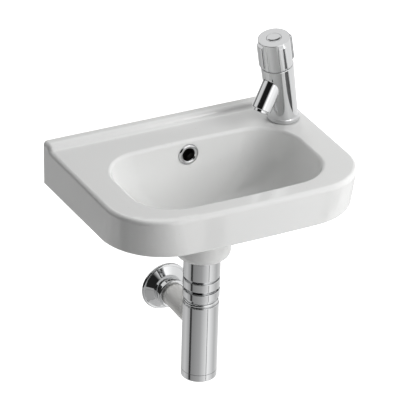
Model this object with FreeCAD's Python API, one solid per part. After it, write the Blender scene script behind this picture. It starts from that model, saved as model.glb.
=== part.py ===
import FreeCAD, Part
import math
import os

# Wall-hung hand basin with a tilted pillar tap, a grid waste and a bottle trap.
# Millimetres, +Z up, +Y into the wall. The origin is on the wall plane, midway between the two fixing holes.

# Shared clearances, the overrun of cuts, and the distance below which two points are one
overrun = 5.0
thread_clearance = 0.15
seat_clearance = 0.3
running_clearance = 0.05
same_point = 0.000001

# Basin, outside form; the foot edge falls a little towards the wall
basin_width = 360.0
basin_depth = 258.0
rim_above_fixing = 70.0
apron_height = 57.5
foot_rise = 4.0
apron_wall = 10.0
back_wall = 11.0
deck_thickness = 10.0
side_taper = 2.5
side_draft = 0.8
front_draft = 2.2
front_sweep_deg = 1.6
front_corner_radius = 74.0
front_corner_growth = 14.0
rim_edge_radius = 6.0
foot_edge_radius = 3.0
bow_share = 0.9

# Basin, low upstand along the wall
upstand_height = 7.5
upstand_land = 8.0
upstand_curve_radius = 8.0

# Basin, panel with the two fixing holes
fixing_spacing = 180.0
fixing_hole_radius = 7.0
panel_width = 250.0
panel_drop = 25.0
panel_corner_radius = 20.0

# Basin, bowl: places are measured from the wall, from the tap's centre line and down from the rim
bowl_to_tap = 10.0
bowl_back = 65.0
front_land = 29.0
bowl_depth = 105.0
bowl_corner_radius = 58.0
bowl_sweep_deg = 2.0
bowl_wall = 9.0
lip_radius = 5.0
# Sections from rim to drain: depth, then how far width, back, front and corner stand out from the seat
bowl_section_shares = (
    (0.00, 1.00, 1.00, 1.00, 1.00),
    (0.19, 0.957, 0.96, 0.94, 0.97),
    (0.43, 0.867, 0.81, 0.825, 0.86),
    (0.67, 0.706, 0.58, 0.614, 0.72),
    (0.86, 0.45, 0.35, 0.333, 0.52),
    (0.95, 0.185, 0.14, 0.123, 0.24),
    (1.00, 0.00, 0.00, 0.00, 0.00),
)
seat_corner_share = 0.95

# Basin, drain boss under the bowl
drain_from_wall = 113.0
drain_hole_radius = 23.0
drain_seat_depth = 3.0
boss_radius = 38.5
boss_below_bowl = 44.0
boss_edge_radius = 13.5

# Overflow: hole and ring in the bowl's back wall, and the duct behind it down to the drain
overflow_below_rim = 20.5
overflow_ring_radius = 14.5
overflow_ring_lip = 3.2
overflow_ring_round = 1.2
overflow_barrel_radius = 11.0
overflow_barrel_length = 9.0
overflow_bore_radius = 8.5
overflow_seat_depth = 0.6
duct_from_wall = 46.0
duct_width = 28.0
duct_wall = 7.0
duct_top_below_rim = 14.0
duct_below_bowl = 27.0
duct_ramp_height = 28.0
duct_floor_from_wall = 74.0

# Waste: flanged, slotted tail with a grid on top
waste_flange_radius = 30.0
waste_flange_thickness = 2.6
waste_flange_round = 1.0
waste_tail_radius = 20.95
waste_tail_wall = 2.45
waste_slot_width = 12.0
waste_slot_height = 14.0
waste_slot_top = 12.0
waste_slot_count = 4
waste_top_seal_thickness = 1.5
grid_radius = 18.2
grid_thickness = 2.2
grid_ledge_width = 1.6
grid_ledge_height = 2.0
grid_slot_count = 8
grid_slot_width = 3.4
grid_slot_inner_radius = 7.0
grid_slot_outer_radius = 15.6
bridge_depth = 14.0
bridge_height = 6.0
bridge_width = 5.0
bridge_hub_radius = 5.5
grid_screw_radius = 3.0
grid_screw_head_radius = 5.0
grid_screw_head_height = 2.4
grid_screw_length = 18.0
head_round_share = 0.6

# Collars below the boss, from the top down
bottom_seal_thickness = 1.8
waste_seal_inset = 0.8
collar_radius = 25.0
collar_edge_round = 0.8
back_nut_length = 27.4
union_gap = 0.3
union_neck_height = 3.0
union_neck_inset = 1.7
union_head_height = 12.5
union_skirt_height = 3.7
union_thread_depth = 9.0
inlet_seal_thickness = 2.0
head_gap = 0.3
head_nut_height = 11.0
head_lip_thickness = 3.0
head_seal_thickness = 3.0

# Bottle trap
dip_tube_radius = 16.0
dip_tube_wall = 1.0
dip_flange_thickness = 2.0
dip_tube_length = 128.0
bottle_radius = 24.5
bottle_wall = 1.3
bottle_length = 113.7
bottle_neck_radius = 20.9
bottle_shoulder_inset = 1.8
bottle_shoulder_height = 4.2
bottle_bead_height = 5.2
bottle_bead_inset = 0.5
bottle_roof = 6.0
bead_round_share = 0.48
outlet_below_shoulder = 43.7
outlet_pipe_radius = 16.0
outlet_pipe_wall = 1.0
outlet_beyond_wall = 15.0
outlet_end_chamfer = 0.5
insertion_mark_width = 1.0
insertion_mark_depth = 0.25
cap_gap = 0.3
cap_height = 10.7
cap_edge_round = 2.0
cap_plug_height = 6.0
cap_plug_wall = 3.0
cap_floor = 3.0
cap_slot_width = 3.0
cap_slot_length = 30.0
cap_slot_depth = 1.6
cap_o_ring_section = 2.0

# Wall rosette, drawn a little off the wall
rosette_from_wall = 6.0
rosette_radius = 35.0
rosette_depth = 26.0
rosette_wall = 1.5
rosette_rim_height = 2.4
rosette_rim_round = 1.1
rosette_dish_rise = 2.2
rosette_cove_radius = 9.0
rosette_collar_radius = 22.0
rosette_collar_round = 2.0
rosette_lip_thickness = 2.5
grip_ring_width = 4.0
grip_ring_round = 1.2

# Tap: its axis leans over the bowl, and heights are measured along that axis from the deck
washer_to_apron = 1.7
tap_from_wall = 58.0
tap_hole_radius = 17.5
tap_lean_deg = 12.0
tap_heading_deg = 22.0
tap_body_height = 88.4
tap_foot_radius = 21.8
tap_foot_height = 4.5
tap_foot_round = 2.5
tap_body_low_radius = 20.3
tap_body_top_radius = 22.2
tap_body_top_round = 0.8
tap_base_seal_thickness = 0.8
tap_base_seal_inset = 0.8

# Tap, spout and aerator: distances run along the spout from the tap's axis
spout_root_height = 76.5
spout_drop_deg = 55.0
spout_start = 9.0
spout_length = 56.2
spout_radius = 13.4
spout_edge_round = 1.0
spout_bore_radius = 7.5
aerator_radius = 9.4
aerator_socket = 10.2
aerator_stand_out = 3.5
aerator_wall = 1.9
aerator_lip = 0.7
aerator_lip_height = 1.2
aerator_edge_round = 0.6
aerator_seal_thickness = 1.5
aerator_insert_length = 9.0
aerator_hole_radius = 0.8
aerator_ring_radius = 2.6
aerator_ring_counts = (1, 6, 12)

# Tap, valve seat and headwork
valve_seat_height = 47.0
valve_port_radius = 4.5
valve_port_length = 5.0
tap_waterway_radius = 6.5
seat_seal_thickness = 3.0
chamber_radius = 10.6
cartridge_radius = 8.6
cartridge_bore_radius = 7.2
disc_thickness = 3.0
disc_opening_radius = 5.2
disc_web = 1.6
spindle_foot_thickness = 3.0
spindle_foot_radius = 6.7
window_height = 6.0
window_width = 9.0
window_gap = 0.5
headwork_thread_length = 8.4
headwork_hex = 24.0
headwork_hex_height = 4.0
headwork_neck_radius = 7.5
headwork_neck_height = 11.6
spindle_radius = 4.05
spindle_square = 6.0
spindle_square_length = 12.0
spindle_groove_from_top = 8.0
spindle_groove_width = 2.2
spindle_o_ring_section = 1.0
clip_radius = 6.0
clip_thickness = 1.2
clip_gap_width = 3.0
clip_groove_share = 0.5

# Tap, knob
knob_gap = 0.6
knob_height = 42.0
knob_radius = 21.5
knob_edge_round = 1.0
knob_wall = 3.0
knob_roof = 4.0
knob_hub_radius = 8.0
rib_count = 4
rib_width_deg = 31.0
rib_phase_deg = 68.0
rib_stand_out = 2.8
rib_top_drop = 2.0
rib_top_round = 1.5
rib_foot_slope = 4.0
rib_root = 2.0
index_radius = 10.0
index_height = 4.8
index_skirt = 1.2
index_plate = 2.0
index_dish = 0.6
knob_screw_radius = 2.4
knob_screw_head_radius = 4.2
knob_screw_head_height = 2.2
knob_screw_length = 17.0

# Tap, fixing under the deck
shank_radius = 12.0
shank_bore_radius = 6.5
shank_socket_depth = 9.0
shank_fixing_length = 38.0
supply_thread_radius = 10.48
supply_thread_length = 22.0
supply_end_chamfer = 1.0
washer_radius = 21.5
rubber_washer_thickness = 3.0
clamp_washer_thickness = 2.0
fixing_nut_hex = 32.0
fixing_nut_height = 9.0

# Places worked out from the sizes above: the tap's washers clear the apron, and the bowl keeps off the tap
tap_x = basin_width / 2 - apron_wall - side_draft - washer_radius - washer_to_apron
bowl_width = 2 * (tap_x - bowl_to_tap)
bowl_front = basin_depth - front_land

# Levels worked out from the sizes above
rim_z = rim_above_fixing
foot_z = rim_z - apron_height
deck_under_z = rim_z - deck_thickness
drain_seat_z = rim_z - bowl_depth - drain_seat_depth
flange_under_z = drain_seat_z + waste_top_seal_thickness
boss_z = rim_z - bowl_depth - boss_below_bowl
back_nut_top_z = boss_z - bottom_seal_thickness
back_nut_low_z = back_nut_top_z - back_nut_length
union_top_z = back_nut_low_z - union_gap
union_head_z = union_top_z - union_neck_height
union_skirt_z = union_head_z - union_head_height
union_low_z = union_skirt_z - union_skirt_height
tail_low_z = union_top_z - union_thread_depth
inlet_seal_low_z = tail_low_z - inlet_seal_thickness
dip_flange_low_z = inlet_seal_low_z - dip_flange_thickness
head_top_z = union_low_z - head_gap
head_low_z = head_top_z - head_nut_height
neck_top_z = head_top_z - head_lip_thickness - head_seal_thickness
shoulder_z = head_low_z - head_gap
bottle_low_z = shoulder_z - bottle_length
outlet_z = shoulder_z - outlet_below_shoulder
cap_top_z = bottle_low_z - cap_gap
cap_low_z = cap_top_z - cap_height
tap_base_z = rim_z + tap_base_seal_thickness
cartridge_low = valve_seat_height + seat_seal_thickness
moving_disc_low = cartridge_low + disc_thickness
spindle_foot_low = moving_disc_low + disc_thickness
spindle_stem_low = spindle_foot_low + spindle_foot_thickness
window_low = spindle_stem_low + window_gap
window_high = window_low + window_height
neck_low = tap_body_height + headwork_hex_height
neck_high = neck_low + headwork_neck_height
spindle_top = neck_high + clip_thickness + spindle_square_length
knob_low = tap_body_height + knob_gap
knob_top = knob_low + knob_height
index_floor = knob_top - index_height
knob_ceiling = index_floor - knob_roof

# Axes and frames worked out from the sizes above
up = FreeCAD.Vector(0, 0, 1)
origin = FreeCAD.Vector(0, 0, 0)
drain_centre = FreeCAD.Vector(0, -drain_from_wall, 0)
tap_foot_point = FreeCAD.Vector(tap_x, -tap_from_wall, rim_z)
heading = FreeCAD.Vector(
    -math.cos(math.radians(tap_heading_deg)), -math.sin(math.radians(tap_heading_deg)), 0)
lean = math.radians(tap_lean_deg)
drop = math.radians(spout_drop_deg)
tap_axis = up * math.cos(lean) + heading * math.sin(lean)
spout_axis = heading * math.cos(drop) - up * math.sin(drop)
tap_across = up.cross(heading)


def frame_along(point, axis, across):
    """Placement at the point whose Z runs along the axis and whose Y runs across it."""
    return FreeCAD.Placement(point, FreeCAD.Rotation(across.cross(axis), across, axis, "ZYX"))


tap_frame = frame_along(tap_foot_point, tap_axis, tap_across)
spout_frame = frame_along(tap_foot_point + tap_axis * spout_root_height, spout_axis, tap_across)


def corner_path(points, radii):
    """Closed wire through the points, with each corner rounded by its own radius; zero leaves it sharp."""
    count = len(points)
    bends = []
    for i, (corner, radius) in enumerate(zip(points, radii)):
        before = (points[i - 1] - corner).normalize()
        after = (points[(i + 1) % count] - corner).normalize()
        if radius == 0:
            bends.append((corner, None, corner))
            continue
        half = before.getAngle(after) / 2
        reach = radius / math.tan(half)
        inward = (before + after).normalize()
        middle = corner + inward * (radius / math.sin(half) - radius)
        bends.append((corner + before * reach, middle, corner + after * reach))
    edges = []
    for i, (start, middle, end) in enumerate(bends):
        if middle is not None:
            edges.append(Part.Arc(start, middle, end).toShape())
        following = bends[(i + 1) % count][0]
        if not end.isEqual(following, same_point):
            edges.append(Part.LineSegment(end, following).toShape())
    return Part.Wire(edges)


def turned(points, radii=None):
    """Solid of revolution about Z from a closed profile of (radius, height) points with rounded corners."""
    corners = [FreeCAD.Vector(radius, 0, height) for radius, height in points]
    profile = corner_path(corners, radii or [0] * len(points))
    return Part.Face(profile).revolve(origin, up, 360)


def ring(inner, outer, low, high, rounds=(0, 0)):
    """Ring about Z, its outer lower and outer upper edges rounded by the given radii."""
    return turned([(inner, low), (outer, low), (outer, high), (inner, high)], [0, rounds[0], rounds[1], 0])


def disc(radius, low, high):
    """Plain cylinder about Z between two heights."""
    return Part.makeCylinder(radius, high - low, FreeCAD.Vector(0, 0, low))


def block(half_x, half_y, low, high, x_low=None):
    """Block about Z; x_low moves its lower X side away from minus half_x."""
    start = -half_x if x_low is None else x_low
    return Part.makeBox(half_x - start, half_y + half_y, high - low, FreeCAD.Vector(start, -half_y, low))


def hexagon(across_flats, low, high):
    """Hexagonal prism about Z with two flats across Y."""
    corner = across_flats / math.sqrt(3)
    turns = [math.radians(60 * i) for i in range(6)]
    points = [FreeCAD.Vector(corner * math.cos(a), corner * math.sin(a), low) for a in turns]
    return Part.Face(Part.makePolygon(points + points[:1])).extrude(up * (high - low))


def half_moon(radius, web, low, high):
    """Half of a cylinder about Z, on its +X side, set off from the middle by half the web."""
    return disc(radius, low, high).common(block(radius, radius, low, high, web / 2))


def around(shape, count, phase_deg=0):
    """Copies of a shape, evenly turned about Z."""
    copies = []
    for i in range(count):
        copy = shape.copy()
        copy.rotate(origin, up, phase_deg + 360 * i / count)
        copies.append(copy)
    return copies


def side_prism(points, width):
    """Prism across X, about the middle, from an outline of (distance from the wall, height) points."""
    corners = [FreeCAD.Vector(-width / 2, -distance, height) for distance, height in points]
    return Part.Face(Part.makePolygon(corners + corners[:1])).extrude(FreeCAD.Vector(width, 0, 0))


def at_drain(shape):
    """Moves a shape turned about Z to the drain's axis."""
    shape.translate(drain_centre)
    return shape


def placed(shape, placement):
    """Moves a shape from its own frame into a tilted one."""
    shape.Placement = placement.multiply(shape.Placement)
    return shape


def bowed_outline(half, taper, back, front, back_deg, front_deg, back_radius, front_radius, level):
    """Closed plan outline: straight sides that may taper, rounded corners, and back and front edges that
    bulge outwards by a sweep angle on each half. Back and front are distances from the wall at mid-width."""
    def bulge(half_run, radius, sweep_deg):
        sweep = math.radians(sweep_deg)
        reach = (half_run - radius) * bow_share
        return reach * math.tan(sweep / 2), half_run * math.tan(sweep), reach / math.tan(sweep)
    half_front = half - taper
    front_lead, front_fall, front_bow = bulge(half_front, front_radius, front_deg)
    points = [
        FreeCAD.Vector(half_front, front_fall - front - front_lead, level),
        FreeCAD.Vector(0, -front - front_lead, level),
        FreeCAD.Vector(-half_front, front_fall - front - front_lead, level),
    ]
    radii = [front_radius, front_bow, front_radius]
    if back_deg == 0:
        points += [FreeCAD.Vector(-half, -back, level), FreeCAD.Vector(half, -back, level)]
        return corner_path(points, radii + [back_radius, back_radius])
    back_lead, back_fall, back_bow = bulge(half, back_radius, back_deg)
    points += [
        FreeCAD.Vector(-half, back_lead - back - back_fall, level),
        FreeCAD.Vector(0, back_lead - back, level),
        FreeCAD.Vector(half, back_lead - back - back_fall, level),
    ]
    return corner_path(points, radii + [back_radius, back_bow, back_radius])


def outer_outline(level, inset, back):
    """Plan outline of the basin's outside at a level, drawn in by the inset. Towards the foot the faces are
    drafted inwards and the front corners grow rounder."""
    below = (rim_z - level) / apron_height
    return bowed_outline(
        basin_width / 2 - side_draft * below - inset, side_taper, back,
        basin_depth - front_draft * below - inset, 0, front_sweep_deg,
        0, front_corner_radius + front_corner_growth * below - inset, level)


def bowl_loft(grow):
    """Smooth bowl from the rim to the drain seat; a grown one is the ceramic's underside round it."""
    seat = waste_flange_radius + seat_clearance
    seat_back = drain_from_wall - seat
    seat_front = drain_from_wall + seat
    seat_corner = seat * seat_corner_share
    sections = []
    for depth, width, back, front, corner in bowl_section_shares:
        level = rim_z - bowl_depth * depth - grow * depth
        if depth == 0 and grow > 0:
            level = rim_z - (lip_radius + deck_thickness) / 2
        sections.append(bowed_outline(
            seat + (bowl_width / 2 - seat) * width + grow, 0,
            seat_back + (bowl_back - seat_back) * back - grow,
            seat_front + (bowl_front - seat_front) * front + grow,
            bowl_sweep_deg, bowl_sweep_deg,
            seat_corner + (bowl_corner_radius - seat_corner) * corner + grow,
            seat_corner + (bowl_corner_radius - seat_corner) * corner + grow, level))
    return Part.makeLoft(sections, True)


def upright_face_edges(shape, low, high):
    """Edges of the upright outer faces, the wall face left out, whose middles lie between two levels."""
    found = []
    for face in shape.Faces:
        u_low, u_high, v_low, v_high = face.ParameterRange
        normal = face.normalAt((u_low + u_high) / 2, (v_low + v_high) / 2)
        if abs(normal.z) > abs(normal.x) + abs(normal.y) or face.BoundBox.YMin > -overrun:
            continue
        for edge in face.Edges:
            middle = edge.valueAt((edge.FirstParameter + edge.LastParameter) / 2)
            if edge.BoundBox.ZLength < apron_height / 2 and low < middle.z < high:
                found.append(edge)
    return found


def rim_block():
    """Drafted outer block with the upstand along the wall, its rim and foot edges rounded."""
    top_z = rim_z + upstand_height
    body = Part.makeLoft([outer_outline(foot_z, 0, 0), outer_outline(top_z, 0, 0)], True, True)
    turn = math.acos(1 - upstand_height / (2 * upstand_curve_radius))
    run = upstand_curve_radius * math.sin(turn)
    half_turn = turn / 2
    reach = basin_width / 2 + overrun
    crest = FreeCAD.Vector(-reach, -upstand_land, top_z)
    crest_mid = crest + FreeCAD.Vector(
        0, -upstand_curve_radius * math.sin(half_turn), -upstand_curve_radius * (1 - math.cos(half_turn)))
    waist = FreeCAD.Vector(-reach, -upstand_land - run, (rim_z + top_z) / 2)
    toe = FreeCAD.Vector(-reach, -upstand_land - 2 * run, rim_z)
    toe_mid = toe + FreeCAD.Vector(
        0, upstand_curve_radius * math.sin(half_turn), upstand_curve_radius * (1 - math.cos(half_turn)))
    front_low = FreeCAD.Vector(-reach, -basin_depth - overrun, rim_z)
    front_high = FreeCAD.Vector(-reach, -basin_depth - overrun, top_z + overrun)
    crest_high = FreeCAD.Vector(-reach, -upstand_land, top_z + overrun)
    air = Part.Wire([
        Part.LineSegment(crest_high, crest).toShape(),
        Part.Arc(crest, crest_mid, waist).toShape(),
        Part.Arc(waist, toe_mid, toe).toShape(),
        Part.LineSegment(toe, front_low).toShape(),
        Part.LineSegment(front_low, front_high).toShape(),
        Part.LineSegment(front_high, crest_high).toShape(),
    ])
    body = body.cut(Part.Face(air).extrude(FreeCAD.Vector(2 * reach, 0, 0)))
    wedge = [(0, foot_z), (basin_depth, foot_z + foot_rise), (basin_depth, foot_z)]
    body = body.cut(side_prism(wedge, 2 * reach))
    rim_edges = upright_face_edges(body, rim_z - foot_edge_radius, top_z + overrun)
    body = body.makeFillet(rim_edge_radius, rim_edges)
    return body.makeFillet(foot_edge_radius, upright_face_edges(body, foot_z - overrun, foot_z + overrun))


def wall_point(bowl, level):
    """Point of the bowl's back wall at mid-width and a level."""
    line = Part.makeLine(FreeCAD.Vector(0, -drain_from_wall, level), FreeCAD.Vector(0, 0, level))
    return FreeCAD.Vector(0, max(vertex.Y for vertex in line.common(bowl).Vertexes), level)


bowl_space = bowl_loft(0)
overflow_z = rim_z - overflow_below_rim
overflow_point = wall_point(bowl_space, overflow_z)
wall_rise = wall_point(bowl_space, overflow_z + overflow_ring_radius) - wall_point(
    bowl_space, overflow_z - overflow_ring_radius)
sideways = FreeCAD.Vector(1, 0, 0)
overflow_frame = frame_along(overflow_point, sideways.cross(wall_rise).normalize(), sideways)
outlet_frame = frame_along(FreeCAD.Vector(0, 0, outlet_z), FreeCAD.Vector(0, 1, 0), sideways)
rosette_frame = frame_along(
    FreeCAD.Vector(0, -rosette_from_wall, outlet_z), FreeCAD.Vector(0, -1, 0), sideways)


def overflow_duct(wall):
    """Duct from the overflow down behind the bowl and forward into the drain; a wall makes its shell."""
    back = duct_from_wall - wall
    top = rim_z - duct_top_below_rim + wall
    bottom = rim_z - bowl_depth - duct_below_bowl - wall
    return side_prism([
        (back, top), (drain_from_wall, top), (drain_from_wall, bottom),
        (duct_floor_from_wall - wall, bottom), (back, bottom + duct_ramp_height)], duct_width + 2 * wall)


def basin():
    """One ceramic casting: rim block hollowed from below, fixing panel, bowl skin, drain boss and duct."""
    pocket = Part.makeLoft([
        outer_outline(foot_z - overrun, apron_wall, back_wall),
        outer_outline(deck_under_z, apron_wall, back_wall)], True, True)
    half_panel = panel_width / 2
    panel_outline = corner_path([
        FreeCAD.Vector(-half_panel, 0, -panel_drop), FreeCAD.Vector(half_panel, 0, -panel_drop),
        FreeCAD.Vector(half_panel, 0, deck_under_z), FreeCAD.Vector(-half_panel, 0, deck_under_z)],
        [panel_corner_radius, panel_corner_radius, 0, 0])
    panel = Part.Face(panel_outline).extrude(FreeCAD.Vector(0, -back_wall, 0))
    skin = bowl_loft(bowl_wall)
    boss = at_drain(turned(
        [(0, boss_z), (boss_radius, boss_z), (boss_radius, rim_z - bowl_depth), (0, rim_z - bowl_depth)],
        [0, boss_edge_radius, 0, 0]))
    body = rim_block().cut(pocket).multiFuse([panel, skin, boss, overflow_duct(duct_wall)])
    body = body.cut(overflow_duct(0).cut(skin))
    seat_radius = waste_flange_radius + seat_clearance
    cuts = [
        bowl_space,
        at_drain(disc(drain_hole_radius, boss_z - overrun, rim_z - bowl_depth)),
        at_drain(disc(seat_radius, drain_seat_z, rim_z - bowl_depth)),
        placed(disc(overflow_barrel_radius + seat_clearance, -bowl_wall - overrun, overrun), overflow_frame),
        placed(disc(overflow_ring_radius + seat_clearance, -overflow_seat_depth, overrun), overflow_frame),
        placed(disc(tap_hole_radius, -deck_thickness - overrun, overrun),
               FreeCAD.Placement(tap_foot_point, FreeCAD.Rotation())),
    ]
    for side in (-1, 1):
        cuts.append(Part.makeCylinder(
            fixing_hole_radius, back_wall + 2 * overrun,
            FreeCAD.Vector(side * fixing_spacing / 2, overrun, 0), FreeCAD.Vector(0, -1, 0)))
    for cut in cuts:
        body = body.cut(cut)
    body = body.removeSplitter()
    lip = []
    for edge in body.Edges:
        middle = edge.valueAt((edge.FirstParameter + edge.LastParameter) / 2)
        level = abs(middle.z - rim_z) < running_clearance and edge.BoundBox.ZLength < running_clearance
        inside = abs(middle.x) < bowl_width / 2 + lip_radius and middle.y > -bowl_front - lip_radius
        if level and inside and middle.y < -bowl_back + running_clearance:
            lip.append(edge)
    return body.makeFillet(lip_radius, lip)


def overflow_ring():
    """Chromed ring pressed into the overflow hole, with a rounded lip on the bowl's wall."""
    low = -overflow_seat_depth
    high = low + overflow_ring_lip
    end = low - overflow_barrel_length
    return placed(turned([
        (overflow_bore_radius, end), (overflow_barrel_radius, end), (overflow_barrel_radius, low),
        (overflow_ring_radius, low), (overflow_ring_radius, high), (overflow_bore_radius, high)],
        [0, 0, 0, 0, overflow_ring_round, overflow_ring_round]), overflow_frame)


waste_top_z = flange_under_z + waste_flange_thickness
waste_bore = waste_tail_radius - waste_tail_wall
grid_low_z = waste_top_z - grid_thickness


def waste_body():
    """Flange and threaded tail, with a ledge for the grid, a bridge for its screw and overflow slots."""
    shell = turned([
        (waste_bore, tail_low_z), (waste_tail_radius, tail_low_z), (waste_tail_radius, flange_under_z),
        (waste_flange_radius, flange_under_z), (waste_flange_radius, waste_top_z), (waste_bore, waste_top_z)],
        [0, 0, 0, 0, waste_flange_round, 0])
    ledge = ring(waste_bore - grid_ledge_width, waste_tail_radius, grid_low_z - grid_ledge_height, grid_low_z)
    bridge_top = waste_top_z - bridge_depth
    bridge_low = bridge_top - bridge_height
    bar = block(waste_bore + waste_tail_wall / 2, bridge_width / 2, bridge_low, bridge_top)
    hub = disc(bridge_hub_radius, bridge_low, bridge_top)
    body = shell.multiFuse([ledge, bar, hub])
    slot_top = waste_top_z - waste_slot_top
    slot = block(waste_tail_radius + overrun, waste_slot_width / 2, slot_top - waste_slot_height, slot_top,
                 waste_bore - waste_tail_wall)
    body = body.cut(around(slot, waste_slot_count, 180 / waste_slot_count))
    return at_drain(body.cut(disc(grid_screw_radius, bridge_low - overrun, bridge_top + overrun)))


def waste_strainer():
    """Grid plate with radial slots, seated on the tail's ledge."""
    half = grid_slot_width / 2
    slot_outline = corner_path([
        FreeCAD.Vector(grid_slot_inner_radius, -half, grid_low_z),
        FreeCAD.Vector(grid_slot_outer_radius, -half, grid_low_z),
        FreeCAD.Vector(grid_slot_outer_radius, half, grid_low_z),
        FreeCAD.Vector(grid_slot_inner_radius, half, grid_low_z)],
        [half, half, half, half])
    slot = Part.Face(slot_outline).extrude(up * grid_thickness)
    plate = disc(grid_radius, grid_low_z, waste_top_z).cut(around(slot, grid_slot_count))
    return at_drain(plate.cut(disc(grid_screw_radius, grid_low_z, waste_top_z)))


def strainer_screw():
    """Screw with a domed head that holds the grid to the bridge."""
    shank = grid_screw_radius - thread_clearance
    head_top = waste_top_z + grid_screw_head_height
    return at_drain(turned([
        (0, waste_top_z - grid_screw_length), (shank, waste_top_z - grid_screw_length), (shank, waste_top_z),
        (grid_screw_head_radius, waste_top_z), (grid_screw_head_radius, head_top), (0, head_top)],
        [0, 0, 0, 0, grid_screw_head_height * head_round_share, 0]))


def waste_top_seal():
    """Flat seal between the flange and the drain seat."""
    outer = waste_flange_radius - waste_seal_inset
    return at_drain(ring(drain_hole_radius, outer, drain_seat_z, flange_under_z))


def waste_bottom_seal():
    """Flat seal between the boss and the back nut."""
    return at_drain(ring(waste_tail_radius + thread_clearance, collar_radius - waste_seal_inset,
                         back_nut_top_z, boss_z))


def waste_back_nut():
    """Long round nut that clamps the waste from below."""
    return at_drain(ring(waste_tail_radius + thread_clearance, collar_radius, back_nut_low_z, back_nut_top_z,
                         (collar_edge_round, collar_edge_round)))


def trap_union_nut():
    """Ring nut that draws the dip tube's flange up against the tail; its neck and skirt show as grooves."""
    groove = collar_radius - union_neck_inset
    thread = waste_tail_radius + thread_clearance
    hole = dip_tube_radius + seat_clearance
    return at_drain(turned([
        (thread, union_top_z), (groove, union_top_z), (groove, union_head_z), (collar_radius, union_head_z),
        (collar_radius, union_skirt_z), (groove, union_skirt_z), (groove, union_low_z), (hole, union_low_z),
        (hole, dip_flange_low_z), (thread, dip_flange_low_z)],
        [0, 0, 0, collar_edge_round, collar_edge_round, 0, 0, 0, 0, 0]))


def trap_inlet_seal():
    """Flat seal between the waste's tail and the dip tube's flange."""
    return at_drain(ring(dip_tube_radius - dip_tube_wall, waste_tail_radius, inlet_seal_low_z, tail_low_z))


def trap_dip_tube():
    """Flanged tube that dips into the bottle's water."""
    bore = dip_tube_radius - dip_tube_wall
    low = inlet_seal_low_z - dip_tube_length
    return at_drain(turned([
        (bore, low), (dip_tube_radius, low), (dip_tube_radius, dip_flange_low_z),
        (waste_tail_radius, dip_flange_low_z), (waste_tail_radius, inlet_seal_low_z),
        (bore, inlet_seal_low_z)]))


def trap_head_nut():
    """Ring nut on the bottle's neck that squeezes the head seal round the dip tube."""
    hole = dip_tube_radius + seat_clearance
    thread = bottle_neck_radius + thread_clearance
    lip_low_z = head_top_z - head_lip_thickness
    return at_drain(turned([
        (thread, head_low_z), (collar_radius, head_low_z), (collar_radius, head_top_z), (hole, head_top_z),
        (hole, lip_low_z), (thread, lip_low_z)],
        [0, collar_edge_round, collar_edge_round, 0, 0, 0]))


def trap_head_seal():
    """Rubber ring that seals the dip tube in the bottle's neck."""
    return at_drain(ring(dip_tube_radius + running_clearance, bottle_neck_radius,
                         neck_top_z, neck_top_z + head_seal_thickness))


def trap_bottle():
    """Bottle drawn from tube: threaded neck, recessed shoulder, rolled bead, plain body with a side hole."""
    hole = dip_tube_radius + seat_clearance
    recess = bottle_radius - bottle_shoulder_inset
    bead = bottle_radius - bottle_bead_inset
    bead_top = shoulder_z - bottle_shoulder_height
    bead_low = bead_top - bottle_bead_height
    body_top = bead_low - bottle_bead_inset
    bead_round = bottle_bead_height * bead_round_share
    bore = bottle_radius - bottle_wall
    body = at_drain(turned([
        (hole, neck_top_z), (hole, shoulder_z - bottle_roof), (bore, body_top - bottle_roof),
        (bore, bottle_low_z), (bottle_radius, bottle_low_z), (bottle_radius, body_top),
        (recess, body_top), (recess, bead_low),
        (bead, bead_low), (bead, bead_top), (recess, bead_top), (recess, shoulder_z),
        (bottle_neck_radius, shoulder_z), (bottle_neck_radius, neck_top_z)],
        [0, 0, 0, 0, 0, collar_edge_round, 0, 0, bead_round, bead_round, 0, 0, 0, 0]))
    side_hole = disc(outlet_pipe_radius + running_clearance, -drain_from_wall, 0)
    return body.cut(placed(side_hole, outlet_frame))


def trap_outlet_pipe():
    """Plain pipe from the bottle's side into the wall, with an insertion mark just behind the wall plane."""
    bore = outlet_pipe_radius - outlet_pipe_wall
    mark = outlet_pipe_radius - insertion_mark_depth
    mark_end = 2 * insertion_mark_width
    tube = turned([
        (bore, -drain_from_wall), (outlet_pipe_radius, -drain_from_wall),
        (outlet_pipe_radius, insertion_mark_width), (mark, insertion_mark_width), (mark, mark_end),
        (outlet_pipe_radius, mark_end),
        (outlet_pipe_radius, outlet_beyond_wall - outlet_end_chamfer),
        (outlet_pipe_radius - outlet_end_chamfer, outlet_beyond_wall), (bore, outlet_beyond_wall)])
    inside = at_drain(disc(bottle_radius - bottle_wall, bottle_low_z, shoulder_z))
    return placed(tube, outlet_frame).cut(inside)


plug_radius = bottle_radius - bottle_wall - seat_clearance
cap_ring_low = cap_top_z + cap_o_ring_section / 2
cap_ring_middle = bottle_radius - bottle_wall - running_clearance - cap_o_ring_section / 2


def trap_bottom_cap():
    """Cleaning cap: rounded lip flush with the bottle, hollow plug grooved for its O-ring, coin slot."""
    plug_top = cap_top_z + cap_plug_height
    hollow = plug_radius - cap_plug_wall
    groove = cap_ring_middle - cap_o_ring_section / 2 - running_clearance
    floor_z = cap_low_z + cap_floor
    cap = turned([
        (0, cap_low_z), (bottle_radius, cap_low_z), (bottle_radius, cap_top_z), (plug_radius, cap_top_z),
        (plug_radius, plug_top), (hollow, plug_top), (hollow, floor_z), (0, floor_z)],
        [0, cap_edge_round, 0, 0, 0, 0, 0, 0])
    cap = cap.cut(ring(groove, bottle_radius, cap_ring_low - running_clearance,
                       cap_ring_low + cap_o_ring_section + running_clearance))
    slot = block(cap_slot_length / 2, cap_slot_width / 2, cap_low_z - overrun, cap_low_z + cap_slot_depth)
    return at_drain(cap.cut(slot))


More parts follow.
